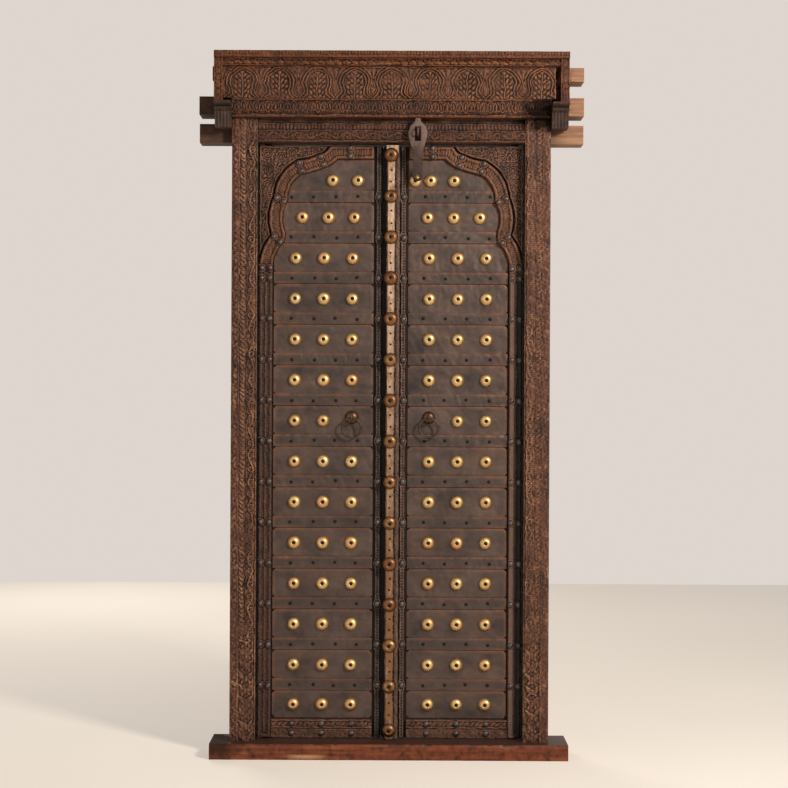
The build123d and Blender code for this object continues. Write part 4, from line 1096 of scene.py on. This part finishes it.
def turned(name, places, profile, segments, finish, body, tilt=0.0):
    """Round pieces turned about the forward axis, one at each place; the profile gives radius and rise."""
    turns = np.arange(segments) * 2 * math.pi / segments
    points, faces, smooth, tints = [], [], [], []
    for place_x, forward, place_z in places:
        first = len(points)
        lean_x, lean_z = hand.uniform(-tilt, tilt, 2)
        size = 1 + hand.uniform(-0.035, 0.025)
        spin = hand.uniform(0, 2 * math.pi)
        for radius, rise in profile:
            x = radius * size * np.cos(turns + spin)
            z = radius * size * np.sin(turns + spin)
            y = -(forward + rise + lean_x * x + lean_z * z)
            points += np.stack([place_x + x, y, place_z + z], axis=-1).tolist()
        walls, _, top = lofted(len(profile), segments, first)
        faces += [*walls, top]
        smooth += [True] * len(walls) + [False]
        tints += [hand.uniform(0, 1)] * (len(points) - first)
    return add_piece(name, points, faces, smooth, finish, body, {"tint": np.array(tints)})


def dark_iron_finish(name, dark, light, shine):
    """Forged iron, oiled and handled: nearly black, with grey polish in cloudy patches."""
    finish = Finish(name, dark)
    patches = finish.cloud(70.0, 5.0)
    finish.coat(light, patches, 0.3, 0.7)
    finish.shine(patches, 0.3, 0.7, shine, shine + 0.2)
    finish.put(Metallic=0.75)
    finish.bump(finish.cloud(420.0, 3.0), 0.0008, 0.6)
    return finish


strap_finish = sheet_iron_finish("iron_strap_finish", (50, 41, 36), (67, 54, 48), (83, 67, 59))
nail_finish = dark_iron_finish("sunk_nail_finish", (26, 19, 17), (44, 33, 29), 0.5)
for side, sign in zip(SIDES, (-1, 1)):
    node = f"{side}_iron_straps"
    strap_face = limits(node)[1][1]
    cuts, nails = [], []
    for number, loop in enumerate(back_outlines(node)):
        low, high = loop.min(axis=0), loop.max(axis=0)
        loop = loop + np.where(loop[:, 1:] > high[1] - 0.004, (0.0, STRAP_LAP), 0.0)
        cuts.append((loop, partial(plate_relief, loop, STRAP_SEED + number)))
        middle = (low[1] + high[1]) / 2
        for reach in STRAP_NAILS:
            nail_x = sign * reach + hand.uniform(-0.003, 0.003)
            if low[0] + 0.012 < nail_x < high[0] - 0.012:
                nails.append((nail_x, strap_face - 0.001, middle + hand.uniform(-0.002, 0.003)))
    sawn_piece(
        f"{side}_nailed_straps", node, cuts, STRAP_STEP, strap_finish, f"{side}_leaf",
        extra={"rust": near_rim},
    )
    turned(f"{side}_strap_nails", nails, STRAP_NAIL_HEAD, 12, nail_finish, f"{side}_leaf")

# Foot rails: two battens across the bottom of each leaf, nailed on over the boards. The upper one is
# cut with slanted leaves, and the lower one has been kicked and scrubbed almost plain.
RAIL_STEP = 0.0025


def rail_relief(x, z):
    """Slanted leaves along the upper rail, and hardly a trace of them left along the lower."""
    foot, top = limits("left_foot_rails")[2]
    local = cell(x, 0.016)[1]
    row, across = cell(z - foot, (top - foot) / 2)
    slanted = leaf(local, across, 0.020, 0.0085, 0.75)
    rims = dome(np.abs(across) - 0.0105, 0.0022)
    left = np.where(row > 0, 0.75, 0.2)
    return 0.0034 * left * (np.maximum(slanted, rims) - 1) + 0.0005 * uneven(x, z, 0.04, 44)


rail_finish = timber_finish(
    "foot_rail_finish", (6.0, 70.0, 70.0),
    (70, 48, 36), (96, 66, 51), (126, 88, 68), (28, 20, 16), (160, 110, 82),
)
for side in SIDES:
    node = f"{side}_foot_rails"
    cuts = [(loop, hand_worked(rail_relief, rubbed=0)) for loop in back_outlines(node)]
    sawn_piece(f"{side}_carved_foot_rails", node, cuts, RAIL_STEP, rail_finish, f"{side}_leaf")

# Meeting strips: a slim baluster strip down the meeting side of each leaf, swelling to a round lobe
# under every iron stud, with a raised line along its edges and small notches between.

STRIP_HALF = 0.0062
STRIP_LOBE = 0.0118
STRIP_STEP = 0.0019
STRIP_LIFT = 0.001


def strip_loop(middle, low, high, studs):
    """The strip's outline: straight between studs, round about them."""
    z = np.arange(low, high + 0.001, 0.002)
    z[-1] = high
    half = np.full_like(z, STRIP_HALF)
    for _, _, stud_z in studs:
        away = np.abs(z - stud_z)
        half = np.maximum(half, STRIP_LOBE * np.sqrt(np.clip(1 - (away / STRIP_LOBE) ** 2, 0, 1)))
        half = np.maximum(half, STRIP_HALF + 0.003 * np.clip(1 - (away - 0.010) / 0.012, 0, 1) ** 2)
    right = np.stack([middle + half, z], axis=-1)
    left = np.stack([middle - half, z], axis=-1)
    return np.concatenate([right, left[::-1]])


def strip_relief(loop, studs, x, z):
    """A line along each edge, notches between, and a level seat under each stud."""
    edge = from_edge(loop, x, z)
    local = cell(z, 0.0085)[1]
    height = np.maximum(dome(edge - 0.0016, 0.0017), 0.2 + 0.35 * dome(local, 0.0034))
    for stud_x, _, stud_z in studs:
        away = np.hypot(x - stud_x, z - stud_z)
        height = np.where(away < 0.0085, 0.5, height)
    return 0.0040 * height - 0.0040


# Shaded and lit copies of one finish: the left strip's is darker, painted shade where the astragal's shadow
# falls, and the right strip's is lighter, painted light.
shaded_left_strip_finish = timber_finish(
    "shaded_left_strip_finish", (60.0, 60.0, 8.0),
    (48, 38, 33), (66, 53, 46), (92, 73, 62), (18, 14, 12), (126, 102, 88),
)
lit_right_strip_finish = timber_finish(
    "lit_right_strip_finish", (60.0, 60.0, 8.0),
    (72, 53, 44), (96, 73, 62), (124, 96, 80), (30, 22, 18), (150, 118, 98),
)
for side, strip_finish in zip(SIDES, (shaded_left_strip_finish, lit_right_strip_finish)):
    node = f"{side}_meeting_strip"
    strip_x, _, strip_z = limits(node)
    middle = sum(strip_x) / 2
    studs = [p for p in solid_places(f"{side}_iron_studs") if abs(p[0] - middle) < 0.004]
    loop = strip_loop(middle, *strip_z, studs)
    cuts = [(loop, hand_worked(partial(strip_relief, loop, studs), wander=0.0005, rubbed=0))]
    name = f"{side}_baluster_strip"
    sawn_piece(name, node, cuts, STRIP_STEP, strip_finish, f"{side}_leaf", lift=STRIP_LIFT)

# Brass studs: thin domes beaten over a former and fixed by an iron nail through the middle. Each is a
# little off round and some have gone coppery; the nail head sits sunk and black in the crown.

BRASS_PROFILE = [
    (0.0200, 0.0), (0.0200, 0.0016), (0.0191, 0.0045), (0.0172, 0.0078), (0.0145, 0.0106),
    (0.0112, 0.0126), (0.0080, 0.0136), (0.0068, 0.0138), (0.0057, 0.0132), (0.0052, 0.0108),
]
BRASS_NAIL = [(0.0053, 0.0100), (0.0049, 0.0116), (0.0030, 0.0125), (0.0010, 0.0128)]


def brass_finish(name, bright, deep, copper, roughness):
    """Beaten brass: bright where it is rubbed, brown in the pores, coppery on some pieces."""
    finish = Finish(name, bright)
    tarnish = finish.cloud(60.0, 5.0)
    finish.coat(deep, tarnish, 0.36, 0.7, 0.0, 0.85)
    finish.coat(copper, finish.painted("tint"), 0.45, 1.0, 0.0, 0.75)
    finish.shine(tarnish, 0.3, 0.7, roughness, roughness + 0.16)
    finish.put(Metallic=1.0)
    finish.bump(finish.cloud(240.0, 3.0), 0.0006, 0.35)
    return finish


stud_finish = brass_finish("brass_stud_finish", (222, 190, 134), (178, 136, 82), (206, 160, 110), 0.38)
for side in SIDES:
    body = f"{side}_leaf"
    places = solid_places(f"{side}_brass_studs")
    domes = turned(f"{side}_beaten_domes", places, BRASS_PROFILE, 32, stud_finish, body, 0.05)
    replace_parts(domes, f"{side}_brass_studs")
    turned(f"{side}_dome_nails", places, BRASS_NAIL, 14, nail_finish, body)

# Iron studs: forged round heads on square nails, driven in pairs through the bands and one by one down
# the meeting strips, oiled black and polished grey on top by hands.

IRON_PROFILE = [
    (0.0092, -0.001), (0.0090, 0.0012), (0.0079, 0.0034),
    (0.0060, 0.0050), (0.0034, 0.0060), (0.0012, 0.0063),
]

iron_stud_finish = dark_iron_finish("iron_stud_finish", (60, 53, 51), (108, 97, 94), 0.34)
for side in SIDES:
    name, body = f"{side}_forged_studs", f"{side}_leaf"
    places = solid_places(f"{side}_iron_studs")
    heads = turned(name, places, IRON_PROFILE, 20, iron_stud_finish, body, 0.06)
    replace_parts(heads, f"{side}_iron_studs")

# Ring pulls: a brass dome with no nail, an iron eye driven through it, and a ring of iron rod hanging
# in the eye. The rings are worn to bare brown metal.

RING_SEGMENTS = 56
ROD_SEGMENTS = 14
PULL_PROFILE = [*BRASS_PROFILE[:8], (0.0025, 0.0140)]


def rod_ring(name, node, axis, finish, body):
    """A closed ring of round rod, from the box of its solid; the axis is the one through its hole."""
    low, high = (np.array(corner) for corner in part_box(node))
    rod = (high[axis] - low[axis]) / 2
    middle = (low + high) / 2
    flat = [i for i in range(3) if i != axis]
    reach = max(high[flat] - low[flat]) / 2 - rod
    turns = np.arange(RING_SEGMENTS) * 2 * math.pi / RING_SEGMENTS
    bends = np.arange(ROD_SEGMENTS) * 2 * math.pi / ROD_SEGMENTS
    turn, bend = np.meshgrid(turns, bends, indexing="ij")
    thick = rod * (1 + 0.05 * np.sin(3 * turn + 1) + 0.04 * np.sin(7 * turn))
    points = np.zeros((RING_SEGMENTS, ROD_SEGMENTS, 3))
    points[..., flat[0]] = middle[flat[0]] + (reach + thick * np.cos(bend)) * np.cos(turn)
    points[..., flat[1]] = middle[flat[1]] + (reach + thick * np.cos(bend)) * np.sin(turn)
    points[..., axis] = middle[axis] + thick * np.sin(bend)
    index = np.arange(points[..., 0].size).reshape(RING_SEGMENTS, ROD_SEGMENTS)
    further, over = np.roll(index, -1, axis=0), np.roll(index, -1, axis=1)
    faces = np.stack([index, further, np.roll(further, -1, axis=1), over], axis=-1).reshape(-1, 4)
    if axis == 1:
        faces = faces[:, ::-1]
    rounded = [True] * len(faces)
    points = points.reshape(-1, 3).tolist()
    ring = add_piece(name, points, faces.tolist(), rounded, finish, body)
    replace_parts(ring, node)


pull_finish = dark_iron_finish("pull_ring_finish", (44, 35, 31), (92, 76, 68), 0.38)
pull_dome_finish = brass_finish("pull_dome_finish", (132, 97, 63), (58, 41, 31), (92, 61, 42), 0.34)
for side in SIDES:
    name, body = f"{side}_pull_dome", f"{side}_leaf"
    places = solid_places(f"{side}_ring_boss")
    pull = turned(name, places, PULL_PROFILE, 32, pull_dome_finish, body)
    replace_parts(pull, f"{side}_ring_boss")
    rod_ring(f"{side}_pull_eye", f"{side}_ring_eye", 0, pull_finish, f"{side}_leaf")
    rod_ring(f"{side}_pull_ring", f"{side}_ring", 1, pull_finish, f"{side}_ring")

# Astragal: the thick cover strip nailed up the meeting edge of the right leaf. Its right edge is carved
# as a rope, and its left edge is plain, black and shadowed.

ASTRAGAL_STEP = 0.0018


def astragal_relief(x, z):
    """A flat middle, a rope along the right edge and a rounded left edge."""
    from_rope = x - 0.0185
    local = cell(z + 0.9 * from_rope, 0.0092)[1]
    rope = 0.0050 * dome(from_rope, 0.0075) * (0.62 + 0.38 * dome(local, 0.0044)) - 0.0105
    height = np.where(x > 0.0112, rope, 0.0)
    rounded = np.clip((-0.0105 - x) / 0.0035, 0, 1) ** 2
    return height - 0.004 * rounded - 0.0002


astragal_finish = timber_finish(
    "astragal_finish", (70.0, 70.0, 6.0),
    (60, 45, 37), (84, 63, 53), (114, 86, 71), (22, 17, 14), (150, 116, 97),
)
astragal_work = hand_worked(astragal_relief, wander=0.0006, rubbed=0)
carved("rope_astragal", "astragal", astragal_work, ASTRAGAL_STEP, astragal_finish, body="right_leaf")

# Brass strip: a long thin strap of sheet brass nailed down the astragal, pinkish and bright above the
# pulls, browner below, with a wider plate at the top and a pair of small nails between each two bosses.

STRIP_PLATE = {"left": -0.0140, "right": 0.0215, "height": 0.030}
STRIP_NAIL_SHARES = [0.36, 0.64]
STRIP_NAIL_HEAD = [(0.0034, -0.0004), (0.0032, 0.0006), (0.0018, 0.0011), (0.0006, 0.0012)]
BRASS_STEP = 0.004


def strip_brass_finish():
    """Sheet brass that goes from pale and rubbed at the top to brown at the foot."""
    finish = Finish("brass_strip_finish", (136, 100, 68))
    streaks = finish.cloud((160.0, 160.0, 14.0), 5.0)
    spots = finish.cloud((55.0, 55.0, 40.0), 5.0)
    patches = finish.cloud((85.0, 85.0, 42.0))
    finish.coat((200, 170, 144), finish.place("Z"), 0.55, 1.25)
    finish.coat((140, 98, 58), patches, 0.46, 0.62, 0.0, 0.75)
    finish.coat((182, 146, 140), patches, 0.44, 0.32, 0.0, 0.6)
    finish.coat((124, 86, 60), streaks, 0.42, 0.75, 0.0, 0.45)
    finish.coat((92, 62, 44), spots, 0.60, 0.74, 0.0, 0.7)
    finish.shine(spots, 0.3, 0.7, 0.36, 0.58)
    finish.put(Metallic=0.85)
    finish.bump(streaks, 0.0006, 0.4)
    return finish


def beaten_relief(x, z):
    """The sheet's small ripples."""
    return 0.0003 * uneven(x, z, 0.03, 61)


brass_x, brass_forward, brass_z = limits("astragal_brass_strip")
edges = np.arange(brass_z[0], brass_z[1] - STRIP_PLATE["height"], 0.012)
wander = 0.0007 * uneven(edges, edges * 0, 0.06, 62)
right_edge = np.stack([brass_x[1] - 0.0005 + wander, edges], axis=-1)
left_edge = np.stack([brass_x[0] + 0.0005 + np.roll(wander, 5), edges], axis=-1)
plate_foot = edges[-1] + 0.004
plate_edge = [(STRIP_PLATE["right"], plate_foot), (STRIP_PLATE["right"], brass_z[1])]
plate_edge += [(STRIP_PLATE["left"], brass_z[1]), (STRIP_PLATE["left"], plate_foot)]
brass_cut = (np.concatenate([right_edge, np.array(plate_edge), left_edge[::-1]]), beaten_relief)
sawn_piece(
    "nailed_brass_strip", "astragal_brass_strip", [brass_cut], BRASS_STEP, strip_brass_finish(),
    "right_leaf",
)

boss_places = solid_places("astragal_bosses")
strip_nails = []
for lower, upper in zip(boss_places, boss_places[1:]):
    for share in STRIP_NAIL_SHARES:
        nail_z = lower[2] + share * (upper[2] - lower[2]) + hand.uniform(-0.003, 0.003)
        strip_nails.append((hand.uniform(-0.0015, 0.0015), brass_forward[1], nail_z))
turned("brass_strip_nails", strip_nails, STRIP_NAIL_HEAD, 12, nail_finish, "right_leaf")

# Bosses: larger beaten domes on the strip at every strap, browner and more coppery than the studs, each
# with a deep black nail hole.

BOSS_SPREAD = 1.06
BOSS_HOLE = 1.35
BOSS_NAIL_SUNK = 0.0012

boss_finish = brass_finish("coppery_boss_finish", (164, 123, 82), (76, 51, 33), (118, 77, 51), 0.35)
boss_low, boss_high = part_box("astragal_bosses")
boss_size = BOSS_SPREAD * (boss_high.x - boss_low.x) / 2 / BRASS_PROFILE[0][0]
boss_profile = [(radius * boss_size, rise) for radius, rise in BRASS_PROFILE[:-4]]
boss_profile += [(radius * boss_size * BOSS_HOLE, rise) for radius, rise in BRASS_PROFILE[-3:]]
boss_nail = [(radius * boss_size * BOSS_HOLE, rise - BOSS_NAIL_SUNK) for radius, rise in BRASS_NAIL]
bosses = turned("coppery_bosses", boss_places, boss_profile, 32, boss_finish, "right_leaf", 0.06)
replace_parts(bosses, "astragal_bosses")
turned("boss_nails", boss_places, boss_nail, 16, nail_finish, "right_leaf")

# Hasp and staple: a forged leaf-shaped hasp that hangs on a staple in the door head and hooks down
# over the right leaf. Both are hammered, with rounded edges, and worn to a mushroom brown.

HASP_EDGE = 0.0012
STAPLE_EDGE = 0.0008
HASP_DARKENING = (1.845, 1.705)


def softened(name, node, finish, body, width):
    """A forged piece: its solid's shape with the edges rounded over."""
    mesh = nodes[node].data.copy()
    mesh.name = name
    piece = bpy.data.objects.new(name, mesh)
    bpy.context.scene.collection.objects.link(piece)
    work = bmesh.new()
    work.from_mesh(mesh)
    bmesh.ops.remove_doubles(work, verts=work.verts, dist=1e-5)
    bmesh.ops.dissolve_limit(work, angle_limit=0.02, verts=work.verts, edges=work.edges)
    sharp = [edge for edge in work.edges if edge.is_manifold and edge.calc_face_angle() > 0.5]
    rounding = {"offset": width, "segments": 3, "profile": 0.5, "affect": "EDGES", "clamp_overlap": True}
    bmesh.ops.bevel(work, geom=sharp, **rounding)
    bmesh.ops.triangulate(work, faces=work.faces)
    work.to_mesh(mesh)
    work.free()
    mesh.materials.clear()
    mesh.materials.append(finish.made)
    mesh.shade_smooth()
    mesh.set_sharp_from_angle(angle=0.7)
    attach(piece, body)
    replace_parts(piece, node)


hasp_finish = dark_iron_finish("hasp_finish", (86, 70, 64), (124, 102, 94), 0.5)
# Darker towards its lower end.
hasp_finish.coat((38, 29, 25), hasp_finish.place("Z"), *HASP_DARKENING)
softened("forged_hasp", "hasp", hasp_finish, "hasp", HASP_EDGE)
softened("forged_staple", "hasp_staple", hasp_finish, "frame", STAPLE_EDGE)

# Pintles: the iron-shod pivots at the top and foot of each leaf, turning in holes in the sill and head.
# They are greased and black, and hardly seen.

pintle_finish = dark_iron_finish("pintle_finish", (40, 33, 30), (70, 60, 55), 0.45)
for side in SIDES:
    cad_finish(pintle_finish, f"{side}_lower_pintle", f"{side}_upper_pintle")

# Floor, light and camera: a pale floor, soft window light from the upper right and the photograph's
# level view, square on and turned a little clockwise.

FLOOR_HALF = 4.5
CAMERA_PLACE = (0.011, -5.016, 1.0803)
CAMERA_ROLL = -0.28
CAMERA_LENS = 76.1
FLOOR_LEVEL = -0.0005
FLOOR_COLOUR = (226, 214, 200)
SKY_FILL = {"Color": (0.92, 0.95, 1.0, 1.0), "Strength": 0.20}
WALL_COLOUR = (222, 214, 206)

floor_finish = Finish("floor_finish", FLOOR_COLOUR)
floor_finish.coat((232, 222, 209), floor_finish.cloud(0.7, 3.0), 0.3, 0.7)
floor_finish.put(Roughness=0.8, Specular_IOR_Level=0.1)
floor_finish.put(Emission_Color=srgb(FLOOR_COLOUR), Emission_Strength=0.46)
floor_mesh = bpy.data.meshes.new("studio_floor")
floor_ways = ((-1, -1), (1, -1), (1, 1), (-1, 1))
floor_corners = [(x * FLOOR_HALF, y * FLOOR_HALF, FLOOR_LEVEL) for x, y in floor_ways]
floor_mesh.from_pydata(floor_corners, [], [(0, 1, 2, 3)])
floor_mesh.materials.append(floor_finish.made)
studio_floor = bpy.data.objects.new("studio_floor", floor_mesh)
bpy.context.scene.collection.objects.link(studio_floor)

world = bpy.data.worlds.new("studio_world")
world.use_nodes = True
bpy.context.scene.world = world
sky = world.node_tree
fill = sky.nodes["Background"]
put(sky, fill, SKY_FILL)
wall = add(sky, "ShaderNodeBackground", {"Color": srgb(WALL_COLOUR), "Strength": 1.0}, 0)
camera_ray = add(sky, "ShaderNodeLightPath", {}, "Is Camera Ray")
glossy_ray = add(sky, "ShaderNodeLightPath", {}, "Is Glossy Ray")
seen = add(sky, "ShaderNodeMath", {0: camera_ray, 1: glossy_ray}, "Value", operation="MAXIMUM")
shown = add(sky, "ShaderNodeMixShader", {0: seen, 1: fill.outputs[0], 2: wall}, 0)
put(sky, sky.nodes["World Output"], {"Surface": shown})


def soft_light(name, place, target, power, size, colour):
    """A square soft box looking at one place."""
    lamp = bpy.data.lights.new(name, "AREA")
    lamp.energy = power
    lamp.size = size
    lamp.color = colour
    box = bpy.data.objects.new(name, lamp)
    box.location = place
    aim = Vector(target) - Vector(place)
    box.rotation_euler = aim.to_track_quat("-Z", "Y").to_euler()
    bpy.context.scene.collection.objects.link(box)


soft_light("window_light", (2.1, -2.7, 2.6), (0.0, 0.0, 1.10), 110.0, 0.55, (1.0, 0.95, 0.88))
soft_light("back_light", (-2.2, 4.2, 2.6), (0.0, 0.0, 1.0), 70.0, 2.0, (1.0, 0.97, 0.93))
soft_light("room_fill", (-3.4, -4.2, 1.8), (0.0, 0.0, 1.0), 14.0, 2.4, (0.93, 0.96, 1.0))

lens = bpy.data.cameras.new("photograph_lens")
lens.sensor_width = 36.0
lens.lens = CAMERA_LENS
lens.clip_end = 60.0
camera = bpy.data.objects.new("photograph_view", lens)
camera.location = CAMERA_PLACE
camera.rotation_euler = (math.radians(90), math.radians(CAMERA_ROLL), 0)
bpy.context.scene.collection.objects.link(camera)
bpy.context.scene.camera = camera

bpy.context.scene.view_settings.view_transform = "Standard"
